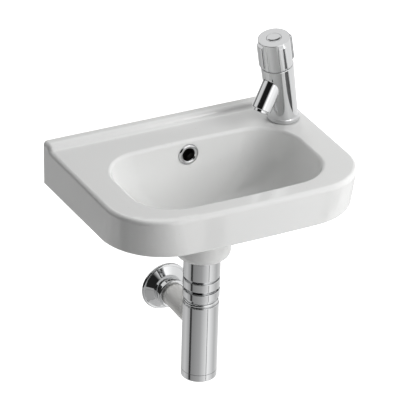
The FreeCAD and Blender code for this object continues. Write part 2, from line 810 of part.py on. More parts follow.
def trap_cap_o_ring():
    """Rubber ring in the cap's groove, sliding in the bottle's bore."""
    middle = FreeCAD.Vector(0, 0, cap_ring_low + cap_o_ring_section / 2)
    return at_drain(Part.makeTorus(cap_ring_middle, cap_o_ring_section / 2, middle, up))


def wall_rosette():
    """Spun cover: rim against the wall, dished flange with a cove, and a collar round the pipe."""
    hole = outlet_pipe_radius + seat_clearance
    collar_bore = rosette_collar_radius - rosette_wall
    dish_high = rosette_rim_height + rosette_dish_rise
    inner_dish = dish_high - rosette_wall
    lip_low = rosette_depth - rosette_lip_thickness
    rim_inside = rosette_radius - rosette_wall
    return placed(turned([
        (rim_inside, 0), (rosette_radius, 0), (rosette_radius, rosette_rim_height),
        (rosette_collar_radius, dish_high), (rosette_collar_radius, rosette_depth), (hole, rosette_depth),
        (hole, lip_low), (collar_bore, lip_low), (collar_bore, inner_dish),
        (rim_inside, rosette_rim_height - rosette_wall)],
        [0, 0, rosette_rim_round, rosette_cove_radius, rosette_collar_round, 0, 0, 0,
         rosette_cove_radius + rosette_wall, 0]), rosette_frame)


def rosette_grip_ring():
    """Rubber ring behind the rosette's lip that holds it on the pipe."""
    high = rosette_depth - rosette_lip_thickness
    outer = rosette_collar_radius - rosette_wall
    return placed(ring(outlet_pipe_radius + running_clearance, outer, high - grip_ring_width, high,
                       (grip_ring_round, 0)), rosette_frame)


tap_upright_frame = FreeCAD.Placement(FreeCAD.Vector(tap_x, -tap_from_wall, 0), FreeCAD.Rotation())


def tap_body():
    """Leaning, slightly flared barrel on a round foot, with a plain spout, water ways and valve chamber."""
    below = tap_foot_radius * math.tan(lean) + overrun
    flare = (tap_body_top_radius - tap_body_low_radius) / tap_body_height
    barrel = placed(turned([
        (0, -below), (tap_body_low_radius - flare * below, -below), (tap_body_top_radius, tap_body_height),
        (0, tap_body_height)],
        [0, 0, tap_body_top_round, 0]), tap_frame)
    spout = placed(turned([
        (0, spout_start), (spout_radius, spout_start), (spout_radius, spout_length), (0, spout_length)],
        [0, 0, spout_edge_round, 0]), spout_frame)
    foot = placed(turned([
        (0, tap_base_z), (tap_foot_radius, tap_base_z), (tap_foot_radius, tap_base_z + tap_foot_height),
        (0, tap_base_z + tap_foot_height)],
        [0, 0, tap_foot_round, 0]), tap_upright_frame)
    body = barrel.multiFuse([spout, foot])
    socket_top_z = tap_base_z + shank_socket_depth
    aerator_seat = spout_length - aerator_socket - aerator_seal_thickness
    cuts = [
        placed(disc(tap_foot_radius + below, tap_base_z - below - below, tap_base_z), tap_upright_frame),
        placed(disc(shank_radius + thread_clearance, tap_base_z, socket_top_z), tap_upright_frame),
        placed(disc(tap_waterway_radius, 0, valve_seat_height - valve_port_length), tap_frame),
        placed(disc(valve_port_radius, 0, valve_seat_height), tap_frame),
        placed(disc(chamber_radius, valve_seat_height, tap_body_height), tap_frame),
        placed(disc(spout_bore_radius, 0, spout_length), spout_frame),
        placed(disc(aerator_radius + thread_clearance, aerator_seat, spout_length), spout_frame),
    ]
    for cut in cuts:
        body = body.cut(cut)
    return body


def tap_base_seal():
    """Thin seal between the tap's foot and the deck."""
    outer = tap_foot_radius - tap_base_seal_inset
    return placed(ring(shank_radius + thread_clearance, outer, rim_z, tap_base_z), tap_upright_frame)


def tap_shank():
    """Threaded shank through the deck, ending in the narrower supply thread."""
    fixing_low = rim_z - shank_fixing_length
    low = fixing_low - supply_thread_length
    high = tap_base_z + shank_socket_depth
    return placed(turned([
        (shank_bore_radius, low), (supply_thread_radius - supply_end_chamfer, low),
        (supply_thread_radius, low + supply_end_chamfer), (supply_thread_radius, fixing_low),
        (shank_radius, fixing_low), (shank_radius, high), (shank_bore_radius, high)]), tap_upright_frame)


clamp_washer_z = deck_under_z - rubber_washer_thickness
fixing_nut_z = clamp_washer_z - clamp_washer_thickness


def tap_rubber_washer():
    """Rubber washer under the deck."""
    return placed(ring(shank_radius + thread_clearance, washer_radius, clamp_washer_z, deck_under_z),
                  tap_upright_frame)


def tap_clamp_washer():
    """Steel washer that spreads the nut's load."""
    return placed(ring(shank_radius + thread_clearance, washer_radius, fixing_nut_z, clamp_washer_z),
                  tap_upright_frame)


def tap_fixing_nut():
    """Hexagonal nut that clamps the tap to the deck."""
    low = fixing_nut_z - fixing_nut_height
    nut = hexagon(fixing_nut_hex, low, fixing_nut_z)
    return placed(nut.cut(disc(shank_radius + thread_clearance, low, fixing_nut_z)), tap_upright_frame)


def tap_headwork():
    """Screw-in cartridge housing with side windows, a hexagon to tighten it and a neck for the spindle."""
    thread = chamber_radius - thread_clearance
    thread_low = tap_body_height - headwork_thread_length
    stem_bore = spindle_radius + running_clearance
    ceiling = window_high + window_gap
    body = turned([
        (cartridge_bore_radius, cartridge_low), (cartridge_radius, cartridge_low),
        (cartridge_radius, thread_low), (thread, thread_low), (thread, tap_body_height),
        (headwork_neck_radius, tap_body_height),
        (headwork_neck_radius, neck_high), (stem_bore, neck_high), (stem_bore, ceiling),
        (cartridge_bore_radius, ceiling)])
    body = body.fuse(hexagon(headwork_hex, tap_body_height, neck_low))
    body = body.cut(disc(stem_bore, tap_body_height, neck_low))
    return placed(body.cut(block(chamber_radius, window_width / 2, window_low, window_high)), tap_frame)


def headwork_seat_seal():
    """Rubber seal between the cartridge and the valve seat."""
    return placed(ring(valve_port_radius, cartridge_radius, valve_seat_height, cartridge_low), tap_frame)


def fixed_valve_disc():
    """Ceramic disc with a half-moon port, held still at the cartridge's end."""
    high = cartridge_low + disc_thickness
    plate = disc(cartridge_bore_radius - running_clearance, cartridge_low, high)
    return placed(plate.cut(half_moon(disc_opening_radius, disc_web, cartridge_low, high)), tap_frame)


def turned_half_moon(low, high):
    """Half-moon opening on the side that is closed at rest."""
    return around(half_moon(disc_opening_radius, disc_web, low, high), 1, 180)[0]


def moving_valve_disc():
    """Ceramic disc turned by the spindle; at rest its opening lies over the fixed disc's blind half."""
    high = moving_disc_low + disc_thickness
    plate = disc(cartridge_bore_radius - seat_clearance, moving_disc_low, high)
    return placed(plate.cut(turned_half_moon(moving_disc_low, high)), tap_frame)


clip_groove_radius = spindle_radius - clip_thickness * clip_groove_share
o_ring_high = neck_high - spindle_groove_from_top
o_ring_low = o_ring_high - spindle_groove_width


def valve_spindle():
    """Spindle with a pierced driving foot, grooves for its O-ring and clip, and a squared, drilled top."""
    foot = disc(spindle_foot_radius, spindle_foot_low, spindle_stem_low)
    foot = foot.cut(turned_half_moon(spindle_foot_low, spindle_stem_low))
    clip_top = neck_high + clip_thickness
    stem = disc(spindle_radius, spindle_foot_low, clip_top)
    half_square = spindle_square / 2
    drive = block(half_square, half_square, clip_top, spindle_top)
    stem = stem.multiFuse([foot, drive.common(disc(spindle_radius, clip_top, spindle_top))])
    o_ring_bed = spindle_radius - spindle_o_ring_section - running_clearance
    stem = stem.cut(ring(o_ring_bed, spindle_radius + overrun, o_ring_low, o_ring_high))
    stem = stem.cut(ring(clip_groove_radius, spindle_radius + overrun, neck_high, clip_top))
    thread = knob_screw_radius + thread_clearance
    return placed(stem.cut(disc(thread, index_floor - knob_screw_length - knob_gap, spindle_top)), tap_frame)


def spindle_o_ring():
    """Rubber ring that seals the spindle in the headwork's neck."""
    middle = FreeCAD.Vector(0, 0, (o_ring_low + o_ring_high) / 2)
    section = spindle_o_ring_section / 2
    return placed(Part.makeTorus(spindle_radius - section, section, middle, up), tap_frame)


def spindle_clip():
    """Open clip that keeps the spindle from being pushed down."""
    clip_top = neck_high + clip_thickness
    clip = ring(clip_groove_radius + running_clearance, clip_radius, neck_high, clip_top)
    return placed(clip.cut(block(clip_radius, clip_gap_width / 2, neck_high, clip_top, 0)), tap_frame)


def tap_knob():
    """Round hollow knob with four raised grip ribs, a hub on the spindle and a recess for the index cap."""
    core = turned([(0, knob_low), (knob_radius, knob_low), (knob_radius, knob_top), (0, knob_top)],
                  [0, 0, knob_edge_round, 0])
    rib_radius = knob_radius + rib_stand_out
    rib_top = knob_top - rib_top_drop
    root = knob_radius - rib_root
    rib_profile = corner_path([
        FreeCAD.Vector(root, 0, knob_low), FreeCAD.Vector(knob_radius, 0, knob_low),
        FreeCAD.Vector(rib_radius, 0, knob_low + rib_foot_slope), FreeCAD.Vector(rib_radius, 0, rib_top),
        FreeCAD.Vector(root, 0, rib_top)],
        [0, 0, rib_top_round, rib_top_round, 0])
    rib = Part.Face(rib_profile).revolve(origin, up, rib_width_deg)
    knob = core.multiFuse(around(rib, rib_count, rib_phase_deg - rib_width_deg / 2))
    hub_low = neck_high + clip_thickness + knob_gap
    cavity = disc(knob_radius - knob_wall, knob_low, knob_ceiling)
    cavity = cavity.cut(disc(knob_hub_radius, hub_low, knob_ceiling))
    half_square = spindle_square / 2 + running_clearance
    drive_top = spindle_top + knob_gap
    drive = disc(spindle_radius + running_clearance, hub_low, drive_top).common(
        block(half_square, half_square, hub_low, drive_top))
    knob = knob.cut(cavity).cut(drive)
    knob = knob.cut(disc(knob_screw_radius + seat_clearance, hub_low, knob_top))
    return placed(knob.cut(disc(index_radius + thread_clearance, index_floor, knob_top)), tap_frame)


def knob_screw():
    """Screw through the knob's roof into the spindle."""
    head_top = index_floor + knob_screw_head_height
    low = index_floor - knob_screw_length
    return placed(turned([
        (0, low), (knob_screw_radius, low), (knob_screw_radius, index_floor),
        (knob_screw_head_radius, index_floor), (knob_screw_head_radius, head_top), (0, head_top)],
        [0, 0, 0, 0, knob_screw_head_height * head_round_share, 0]), tap_frame)


def index_cap():
    """Push-in cap with a skirt and a slightly dished face that hides the knob's screw."""
    plate_low = knob_top - index_plate
    inside = index_radius - index_skirt
    return placed(turned([
        (0, plate_low), (inside, plate_low), (inside, index_floor), (index_radius, index_floor),
        (index_radius, knob_top), (inside, knob_top), (0, knob_top - index_dish)]), tap_frame)


aerator_low = spout_length - aerator_socket
aerator_high = spout_length + aerator_stand_out
aerator_bore = aerator_radius - aerator_wall


def aerator_housing():
    """Threaded ring at the spout's end with an inward lip that holds the insert."""
    lip_bore = aerator_bore - aerator_lip
    lip_low = aerator_high - aerator_lip_height
    return placed(turned([
        (aerator_bore, aerator_low), (aerator_radius, aerator_low), (aerator_radius, aerator_high),
        (lip_bore, aerator_high), (lip_bore, lip_low), (aerator_bore, lip_low)],
        [0, 0, aerator_edge_round, 0, 0, 0]), spout_frame)


def aerator_insert():
    """Plastic insert with rings of water holes."""
    high = aerator_high - aerator_lip_height
    low = high - aerator_insert_length
    insert = disc(aerator_bore - running_clearance, low, high)
    hole = disc(aerator_hole_radius, low, high)
    for i, count in enumerate(aerator_ring_counts):
        placed_hole = hole.copy()
        placed_hole.translate(FreeCAD.Vector(aerator_ring_radius * i, 0, 0))
        insert = insert.cut(around(placed_hole, count))
    return placed(insert, spout_frame)


def aerator_seal():
    """Rubber seal between the aerator and its socket's floor."""
    return placed(ring(spout_bore_radius, aerator_radius, aerator_low - aerator_seal_thickness, aerator_low),
                  spout_frame)


makers = (
    basin, overflow_ring,
    waste_body, waste_strainer, strainer_screw, waste_top_seal, waste_bottom_seal, waste_back_nut,
    trap_union_nut, trap_inlet_seal, trap_dip_tube, trap_head_nut, trap_head_seal, trap_bottle,
    trap_outlet_pipe, trap_bottom_cap, trap_cap_o_ring, wall_rosette, rosette_grip_ring,
    tap_body, tap_base_seal, tap_shank, tap_rubber_washer, tap_clamp_washer, tap_fixing_nut,
    tap_headwork, headwork_seat_seal, fixed_valve_disc, moving_valve_disc, valve_spindle, spindle_o_ring,
    spindle_clip, tap_knob, knob_screw, index_cap, aerator_housing, aerator_insert, aerator_seal,
)
os.makedirs("parts", exist_ok=True)
for maker in makers:
    maker().exportStep(f"parts/{maker.__name__}.step")
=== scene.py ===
import math

import bmesh
import bpy
import numpy as np
from mathutils import Matrix, Vector


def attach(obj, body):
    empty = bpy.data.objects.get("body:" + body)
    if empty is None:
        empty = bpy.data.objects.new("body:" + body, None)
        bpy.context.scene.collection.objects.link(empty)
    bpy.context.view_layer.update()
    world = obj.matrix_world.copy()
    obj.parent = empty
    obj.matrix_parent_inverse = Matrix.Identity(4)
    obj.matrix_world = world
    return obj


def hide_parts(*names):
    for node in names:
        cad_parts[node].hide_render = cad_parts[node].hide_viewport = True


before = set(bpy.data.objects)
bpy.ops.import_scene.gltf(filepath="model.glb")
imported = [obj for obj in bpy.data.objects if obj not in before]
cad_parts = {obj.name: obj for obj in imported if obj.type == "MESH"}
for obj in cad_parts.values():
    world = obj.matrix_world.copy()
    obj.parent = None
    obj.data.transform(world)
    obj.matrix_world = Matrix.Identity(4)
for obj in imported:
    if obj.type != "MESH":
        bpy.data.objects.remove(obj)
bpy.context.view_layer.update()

# Basin
# The basin is one slip-cast piece of vitreous china with deck, bowl, apron and drain boss. It is dipped in
# white glaze and fired; the face that beds on the wall stays bare, and the overflow duct is painted near-black
# as painted shade.


def add(tree, kind, inputs=None, **settings):
    """Adds a node to a tree. An input is a plain value, or the socket of another node that feeds it."""
    node = tree.nodes.new(kind)
    for key, value in settings.items():
        setattr(node, key, value)
    for key, value in (inputs or {}).items():
        if isinstance(value, bpy.types.NodeSocket):
            tree.links.new(value, node.inputs[key])
        else:
            node.inputs[key].default_value = value
    return node


def new_group(name, inputs, outputs):
    """Empty node group with float or vector inputs and float outputs; gives its tree, input and output node."""
    group = bpy.data.node_groups.new(name, "ShaderNodeTree")
    for label, kind in inputs:
        group.interface.new_socket(label, in_out="INPUT", socket_type=kind)
    for label, kind in outputs:
        group.interface.new_socket(label, in_out="OUTPUT", socket_type=kind)
    return group, group.nodes.new("NodeGroupInput"), group.nodes.new("NodeGroupOutput")


def film_group():
    """Film that hands, water and wiping leave: broad clouds times finer streaks, from 0 to 1."""
    group, given, result = new_group(
        "handling_film",
        [("Vector", "NodeSocketVector"), ("Cloud Scale", "NodeSocketFloat"),
         ("Streak Scale", "NodeSocketFloat")],
        [("Film", "NodeSocketFloat")])
    clouds = add(group, "ShaderNodeTexNoise", {
        "Vector": given.outputs["Vector"], "Scale": given.outputs["Cloud Scale"], "Detail": 3.0})
    stretched = add(group, "ShaderNodeMapping", {"Vector": given.outputs["Vector"], "Scale": (1.0, 1.0, 0.18)})
    streaks = add(group, "ShaderNodeTexNoise", {
        "Vector": stretched.outputs["Vector"], "Scale": given.outputs["Streak Scale"], "Detail": 4.0})
    spread = add(group, "ShaderNodeMapRange", {
        "Value": clouds.outputs["Fac"], "From Min": 0.42, "From Max": 0.68, "To Min": 0.1, "To Max": 1.0})
    film = add(group, "ShaderNodeMath", {0: spread.outputs["Result"], 1: streaks.outputs["Fac"]},
               operation="MULTIPLY")
    group.links.new(film.outputs["Value"], result.inputs["Film"])
    return group


handling_film = film_group()


def new_material(name, **sockets):
    """Material with a Principled shader whose plain sockets are set; gives it, its tree, shader and place."""
    material = bpy.data.materials.new(name)
    material.use_nodes = True
    tree = material.node_tree
    shader = tree.nodes["Principled BSDF"]
    for label, value in sockets.items():
        shader.inputs[label.replace("_", " ")].default_value = value
    place = add(tree, "ShaderNodeTexCoord").outputs["Object"]
    return material, tree, shader, place


def film_roughness(tree, shader, place, low, high, cloud_scale, streak_scale):
    """Roughness that goes from low on a clean surface to high under the film; gives the film's socket."""
    film = add(tree, "ShaderNodeGroup", node_tree=handling_film)
    tree.links.new(place, film.inputs["Vector"])
    film.inputs["Cloud Scale"].default_value = cloud_scale
    film.inputs["Streak Scale"].default_value = streak_scale
    rough = add(tree, "ShaderNodeMapRange", {"Value": film.outputs["Film"], "To Min": low, "To Max": high})
    tree.links.new(rough.outputs["Result"], shader.inputs["Roughness"])
    return rough.outputs["Result"]


def bump(tree, shader, height, distance):
    """Small relief on the shader's normal from a height between 0 and 1, times a distance in metres."""
    relief = add(tree, "ShaderNodeBump", {"Height": height, "Distance": distance, "Strength": 1.0})
    tree.links.new(relief.outputs["Normal"], shader.inputs["Normal"])


def blend_colours(tree, share, first, second):
    """Colour that goes from the first to the second with a share; each is a colour or a socket."""
    return add(tree, "ShaderNodeMix", {0: share, 6: first, 7: second}, data_type="RGBA").outputs[2]


GLAZE_WHITE = (0.83, 0.83, 0.82, 1)
GLAZE_POOLED = (0.80, 0.805, 0.80, 1)
GLAZE_SPECK = (0.45, 0.42, 0.38, 1)
BARE_BODY = (0.76, 0.72, 0.66, 1)
# Near-black painted shade for the inside of the overflow duct.
DUCT_PAINTED_SHADE = (0.06, 0.055, 0.05, 1)
DUCT_MIDDLE, DUCT_HALF = (0, -0.0546, -0.002), (0.0144, 0.0089, 0.0584)
SPECK_RARITY, SPECK_SIZE = 0.993, 0.14
BARE_WOBBLE, BARE_START, BARE_FULL = 0.0012, -0.0012, -0.0003
BARE_ROUGHNESS = 0.72
glaze, tree, shader, place = new_material("white_glaze", IOR=1.58)
clouds = add(tree, "ShaderNodeTexNoise", {"Vector": place, "Scale": 14.0, "Detail": 3.0})
tone = blend_colours(tree, clouds.outputs["Fac"], GLAZE_WHITE, GLAZE_POOLED)
cells = add(tree, "ShaderNodeTexVoronoi", {"Vector": place, "Scale": 420.0})
picked = add(tree, "ShaderNodeSeparateColor", {"Color": cells.outputs["Color"]})
rare = add(tree, "ShaderNodeMath", {0: picked.outputs["Red"], 1: SPECK_RARITY}, operation="GREATER_THAN")
dot = add(tree, "ShaderNodeMath", {0: cells.outputs["Distance"], 1: SPECK_SIZE}, operation="LESS_THAN")
speck = add(tree, "ShaderNodeMath", {0: rare.outputs["Value"], 1: dot.outputs["Value"]}, operation="MULTIPLY")
tone = blend_colours(tree, speck.outputs["Value"], tone, GLAZE_SPECK)
ragged = add(tree, "ShaderNodeTexNoise", {"Vector": place, "Scale": 60.0, "Detail": 4.0})
depth = add(tree, "ShaderNodeSeparateXYZ", {"Vector": place})
wobble = add(tree, "ShaderNodeMath", {0: ragged.outputs["Fac"], 1: BARE_WOBBLE, 2: depth.outputs["Y"]},
             operation="MULTIPLY_ADD")
bare = add(tree, "ShaderNodeMapRange", {
    "Value": wobble.outputs["Value"], "From Min": BARE_START, "From Max": BARE_FULL})
grit = add(tree, "ShaderNodeTexNoise", {"Vector": place, "Scale": 900.0, "Detail": 5.0})
body_tone = blend_colours(tree, grit.outputs["Fac"], BARE_BODY, GLAZE_POOLED)
tone = blend_colours(tree, bare.outputs["Result"], tone, body_tone)
# Painted shade: inside a box round the overflow duct the glaze colour gives way to near-black, standing in for
# the shade in the hole.
from_duct = add(tree, "ShaderNodeVectorMath", {0: place, 1: DUCT_MIDDLE}, operation="SUBTRACT")
duct_way = add(tree, "ShaderNodeVectorMath", {0: from_duct.outputs["Vector"]}, operation="ABSOLUTE")
duct_share = add(tree, "ShaderNodeVectorMath", {0: duct_way.outputs["Vector"], 1: DUCT_HALF},
                 operation="DIVIDE")
duct_sides = add(tree, "ShaderNodeSeparateXYZ", {"Vector": duct_share.outputs["Vector"]})
widest = add(tree, "ShaderNodeMath", {0: duct_sides.outputs["X"], 1: duct_sides.outputs["Y"]},
             operation="MAXIMUM")
widest = add(tree, "ShaderNodeMath", {0: widest.outputs["Value"], 1: duct_sides.outputs["Z"]},
             operation="MAXIMUM")
duct_shade_mask = add(tree, "ShaderNodeMath", {0: widest.outputs["Value"], 1: 1.0}, operation="LESS_THAN")
tone = blend_colours(tree, duct_shade_mask.outputs["Value"], tone, DUCT_PAINTED_SHADE)
tree.links.new(tone, shader.inputs["Base Color"])
glossy = film_roughness(tree, shader, place, low=0.02, high=0.06, cloud_scale=9.0, streak_scale=38.0)
dull = add(tree, "ShaderNodeMix", {0: bare.outputs["Result"], 2: glossy, 3: BARE_ROUGHNESS})
tree.links.new(dull.outputs[0], shader.inputs["Roughness"])
peel = add(tree, "ShaderNodeTexNoise", {"Vector": place, "Scale": 55.0, "Detail": 2.0})
relief = add(tree, "ShaderNodeMath", {
    0: grit.outputs["Fac"], 1: bare.outputs["Result"], 2: peel.outputs["Fac"]}, operation="MULTIPLY_ADD")
bump(tree, shader, relief.outputs["Value"], distance=0.00006)


def dress(piece, material, body, slot, *nodes):
    """Gives a piece its finish and the CAD body that it moves with, and lets it stand for its CAD nodes."""
    piece.data.materials.clear()
    piece.data.materials.append(material)
    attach(piece, body)
    if nodes:
        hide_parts(*nodes)
    return piece


def shade(piece, sharp_deg):
    """Shades a piece smoothly, except across edges that bend by more than the angle."""
    piece.data.shade_smooth()
    piece.data.set_sharp_from_angle(angle=math.radians(sharp_deg))
    return piece


def joined_copy(node, sharp_deg=28):
    """Copy of a CAD node with its loose triangles joined and shaded smoothly, its flats kept flat."""
    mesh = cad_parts[node].data.copy()
    mesh.name = node + "_piece"
    work = bmesh.new()
    work.from_mesh(mesh)
    bmesh.ops.remove_doubles(work, verts=work.verts, dist=2e-6)
    work.to_mesh(mesh)
    work.free()
    if "custom_normal" in mesh.attributes:
        mesh.attributes.remove(mesh.attributes["custom_normal"])
    piece = bpy.data.objects.new(node + "_piece", mesh)
    bpy.context.scene.collection.objects.link(piece)
    shade(piece, sharp_deg)
    weighted = piece.modifiers.new("flat_faces", "WEIGHTED_NORMAL")
    weighted.keep_sharp = True
    weighted.weight = 60
    return piece


dress(joined_copy("basin"), glaze, "fixed_parts", "glaze", "basin")

# Overflow ring
# The overflow ring is a turned and chromed brass ring with a rounded lip, pressed into the hole in the
# bowl's back wall.
MM = 0.001
CHROME = (0.63, 0.635, 0.64, 1)
chrome, tree, shader, place = new_material("polished_chrome", Metallic=1.0)
shader.inputs["Base Color"].default_value = CHROME
film_roughness(tree, shader, place, low=0.035, high=0.11, cloud_scale=26.0, streak_scale=90.0)
buffed = add(tree, "ShaderNodeTexNoise", {"Vector": place, "Scale": 120.0, "Detail": 2.0})
bump(tree, shader, buffed.outputs["Fac"], distance=0.000012)


def frame_at(point, axis, across):
    """Four by four array: its Z column is the axis, its Y column the direction across, at a point in mm."""
    axis, across = np.array(axis, float), np.array(across, float)
    place = np.eye(4)
    place[:3, 0], place[:3, 1], place[:3, 2], place[:3, 3] = np.cross(across, axis), across, axis, point
    return place


def rounded(corners, closed, arc_steps=8, hold=0.3):
    """Profile through corners of (radius, height) or (radius, height, rounding). A rounded corner becomes the
    arc that touches both runs, and a long run gets a point near each end, so that it shades flat."""
    points = np.array([corner[:2] for corner in corners], float)
    pieces = []
    for i, corner in enumerate(corners):
        here = points[i]
        if len(corner) < 3:
            pieces.append(here[None])
            continue
        before = points[i - 1] - here
        after = points[(i + 1) % len(points)] - here
        before, after = before / np.linalg.norm(before), after / np.linalg.norm(after)
        half = math.acos(before @ after) / 2
        inward = (before + after) / np.linalg.norm(before + after)
        middle = here + inward * corner[2] / math.sin(half)
        start = here + before * corner[2] / math.tan(half) - middle
        end = here + after * corner[2] / math.tan(half) - middle
        first = math.atan2(start[1], start[0])
        sweep = (math.atan2(end[1], end[0]) - first + math.pi) % (2 * math.pi) - math.pi
        turn = first + sweep * np.linspace(0, 1, arc_steps + 1)
        pieces.append(middle + corner[2] * np.stack([np.cos(turn), np.sin(turn)], 1))
    path = np.concatenate(pieces)
    run = np.roll(path, -1, 0) - path
    length = np.linalg.norm(run, axis=1)
    long = length > 4 * hold
    if not closed:
        long[-1] = False
    step = run / np.maximum(length, hold)[:, None] * hold
    held = np.stack([path, path + step, np.roll(path, -1, 0) - step], 1)
    keep = np.stack([np.ones_like(long), long, long], 1)
    return held[keep]


def grid_faces(rows, columns, rows_closed, columns_closed):
    """Faces of a grid, each from four neighbours; a closed way joins its last line of points to its first."""
    row, column = np.meshgrid(
        np.arange(rows if rows_closed else rows - 1),
        np.arange(columns if columns_closed else columns - 1), indexing="ij")
    row, column = row.ravel(), column.ravel()
    row_next, column_next = (row + 1) % rows, (column + 1) % columns
    return np.stack([row * columns + column, row * columns + column_next,
                     row_next * columns + column_next, row_next * columns + column], 1)


def surface_piece(name, shells, sharp_deg=30):
    """Piece from closed shells, each a grid of points in mm, its place, and whether its rows and columns
    close. Points that fall together at a pole are joined, and each shell's faces are turned outwards."""
    points, faces, count = [], [], 0
    for grid, place, rows_closed, columns_closed in shells:
        rows, columns = grid.shape[:2]
        points.append((grid.reshape(-1, 3) @ place[:3, :3].T + place[:3, 3]) * MM)
        faces.append(grid_faces(rows, columns, rows_closed, columns_closed) + count)
        count += rows * columns
    mesh = bpy.data.meshes.new(name)
    mesh.from_pydata(np.concatenate(points), [], np.concatenate(faces))
    work = bmesh.new()
    work.from_mesh(mesh)
    bmesh.ops.remove_doubles(work, verts=work.verts, dist=1e-7)
    bmesh.ops.recalc_face_normals(work, faces=work.faces)
    work.to_mesh(mesh)
    work.free()
    piece = bpy.data.objects.new(name, mesh)
    bpy.context.scene.collection.objects.link(piece)
    return shade(piece, sharp_deg)


def turned_grid(profile, around=160):
    """Surface of revolution: the profile point (r, z) at the turn a lies at (r cos a, r sin a, z)."""
    turn = np.linspace(0, 2 * np.pi, around, endpoint=False)
    radius, height = profile[:, 0, None], profile[:, 1, None]
    return np.stack([radius * np.cos(turn), radius * np.sin(turn), height + 0 * turn], -1)


def turned_shell(corners, place, closed=True, around=160):
    """Closed shell turned from a profile: a ring's section, or an open one between two points on the axis."""
    return turned_grid(rounded(corners, closed), around), place, closed, True


def turned(name, corners, place, closed=True):
    """Piece turned from one profile."""
    return surface_piece(name, [turned_shell(corners, place, closed)])


SIDEWAYS = (1, 0, 0)
OVERFLOW_MIDDLE, OVERFLOW_AXIS = (0, -65.746, 49.5), (0, -0.9975946, 0.0693178)
overflow_place = frame_at(OVERFLOW_MIDDLE, OVERFLOW_AXIS, SIDEWAYS)
dress(turned("overflow_ring_piece", [
    (8.5, -9.6), (11.0, -9.6), (11.0, -0.6), (14.5, -0.6), (14.5, 2.6, 2.9), (8.5, 2.6, 2.9)], overflow_place),
    chrome, "fixed_parts", "chrome", "overflow_ring")

# Waste and strainer
# The waste is a chromed brass flange with a slotted tail through the drain hole. Its grid is a punched
# plate held by one screw, and black rubber seals lie above and below the ceramic.
RUBBER = (0.028, 0.028, 0.03, 1)
RUBBER_BLOOM = (0.06, 0.06, 0.062, 1)
rubber, tree, shader, place = new_material("black_rubber", IOR=1.5)
bloom = add(tree, "ShaderNodeTexNoise", {"Vector": place, "Scale": 90.0, "Detail": 4.0})
tree.links.new(blend_colours(tree, bloom.outputs["Fac"], RUBBER, RUBBER_BLOOM), shader.inputs["Base Color"])
film_roughness(tree, shader, place, low=0.6, high=0.85, cloud_scale=60.0, streak_scale=200.0)
pores = add(tree, "ShaderNodeTexNoise", {"Vector": place, "Scale": 1500.0, "Detail": 3.0})
bump(tree, shader, pores.outputs["Fac"], distance=0.00003)

UPRIGHT, WALLWARD = (0, 0, 1), (0, 1, 0)
DRAIN_Y = -113.0
drain_place = frame_at((0, DRAIN_Y, 0), UPRIGHT, WALLWARD)
dress(joined_copy("waste_body"), chrome, "fixed_parts", "chrome", "waste_body")
dress(joined_copy("waste_strainer"), chrome, "fixed_parts", "chrome", "waste_strainer")


def slotted_head(radius, low, high, edge, slot_width, slot_depth, lines=48, columns=25, clear=0.02):
    """Domed screw head. A line runs across the head at y = r sin v, out over its top and back underneath. The
    top falls with the square of the distance from the middle, and lines inside the slot lie its depth lower.
    Other lines keep clear of the slot's two edges."""
    half = slot_width / 2
    inner = np.array([-half, -half, half, half]) / radius
    sine = np.sin(np.linspace(-np.pi / 2, np.pi / 2, lines))
    sine = np.concatenate([sine[sine < inner[0] - clear], inner, sine[sine > inner[3] + clear]])
    sunk = np.abs(sine) <= inner[3] + 1e-9
    first = np.searchsorted(sine, inner[0])
    sunk[first] = False
    sunk[first + 3] = False
    across = np.linspace(-1, 1, columns)
    chord = np.sqrt(np.maximum(0, 1 - sine ** 2))
    x = radius * chord[:, None] * across
    y = radius * sine[:, None] + 0 * across
    top = high - edge * (x ** 2 + y ** 2) / radius ** 2 - slot_depth * sunk[:, None]
    upper = np.stack([x, y, top], -1)
    lower = np.stack([x, y, 0 * x + low], -1)[:, ::-1]
    return np.concatenate([upper, lower], 1)


screw_head = slotted_head(radius=5.0, low=-33.9, high=-31.5, edge=1.1, slot_width=1.2, slot_depth=1.0)
dress(surface_piece("strainer_screw_piece", [
    (screw_head, drain_place, False, True),
    turned_shell([(0, -51.9), (2.85, -51.9, 0.5), (2.85, -33.7), (0, -33.7)], drain_place, False, 48)]),
    chrome, "fixed_parts", "chrome", "strainer_screw")
dress(turned("waste_bottom_seal_piece", [
    (21.1, -80.8), (24.2, -80.8, 0.5), (24.2, -79.0, 0.5), (21.1, -79.0)], drain_place),
    rubber, "fixed_parts", "rubber", "waste_bottom_seal")

# Collars
# Three round chromed nuts hang under the drain boss: the back nut that clamps the waste, the union nut with
# its two grooves, and the head nut on the bottle's neck.
COLLAR_RADIUS, DIP_TUBE_HOLE = 25.0, 16.3
collars = {
    "waste_back_nut": [
        (21.1, -108.2), (COLLAR_RADIUS, -108.2, 0.8), (COLLAR_RADIUS, -80.8, 0.8), (21.1, -80.8)],
    "trap_union_nut": [
        (21.1, -108.5), (21.6, -108.5), (21.6, -111.5, 0.4), (COLLAR_RADIUS, -111.5, 0.9),
        (COLLAR_RADIUS, -124.0, 0.9), (20.3, -124.0, 0.4), (20.3, -127.7), (DIP_TUBE_HOLE, -127.7),
        (DIP_TUBE_HOLE, -121.5), (19.6, -121.5)],
    "trap_head_nut": [
        (21.05, -139.0), (COLLAR_RADIUS, -139.0, 0.8), (COLLAR_RADIUS, -128.0, 0.8),
        (DIP_TUBE_HOLE, -128.0), (DIP_TUBE_HOLE, -131.0), (21.05, -131.0)],
}
for node, corners in collars.items():
    dress(turned(node + "_piece", corners, drain_place), chrome, "fixed_parts", "chrome", node)

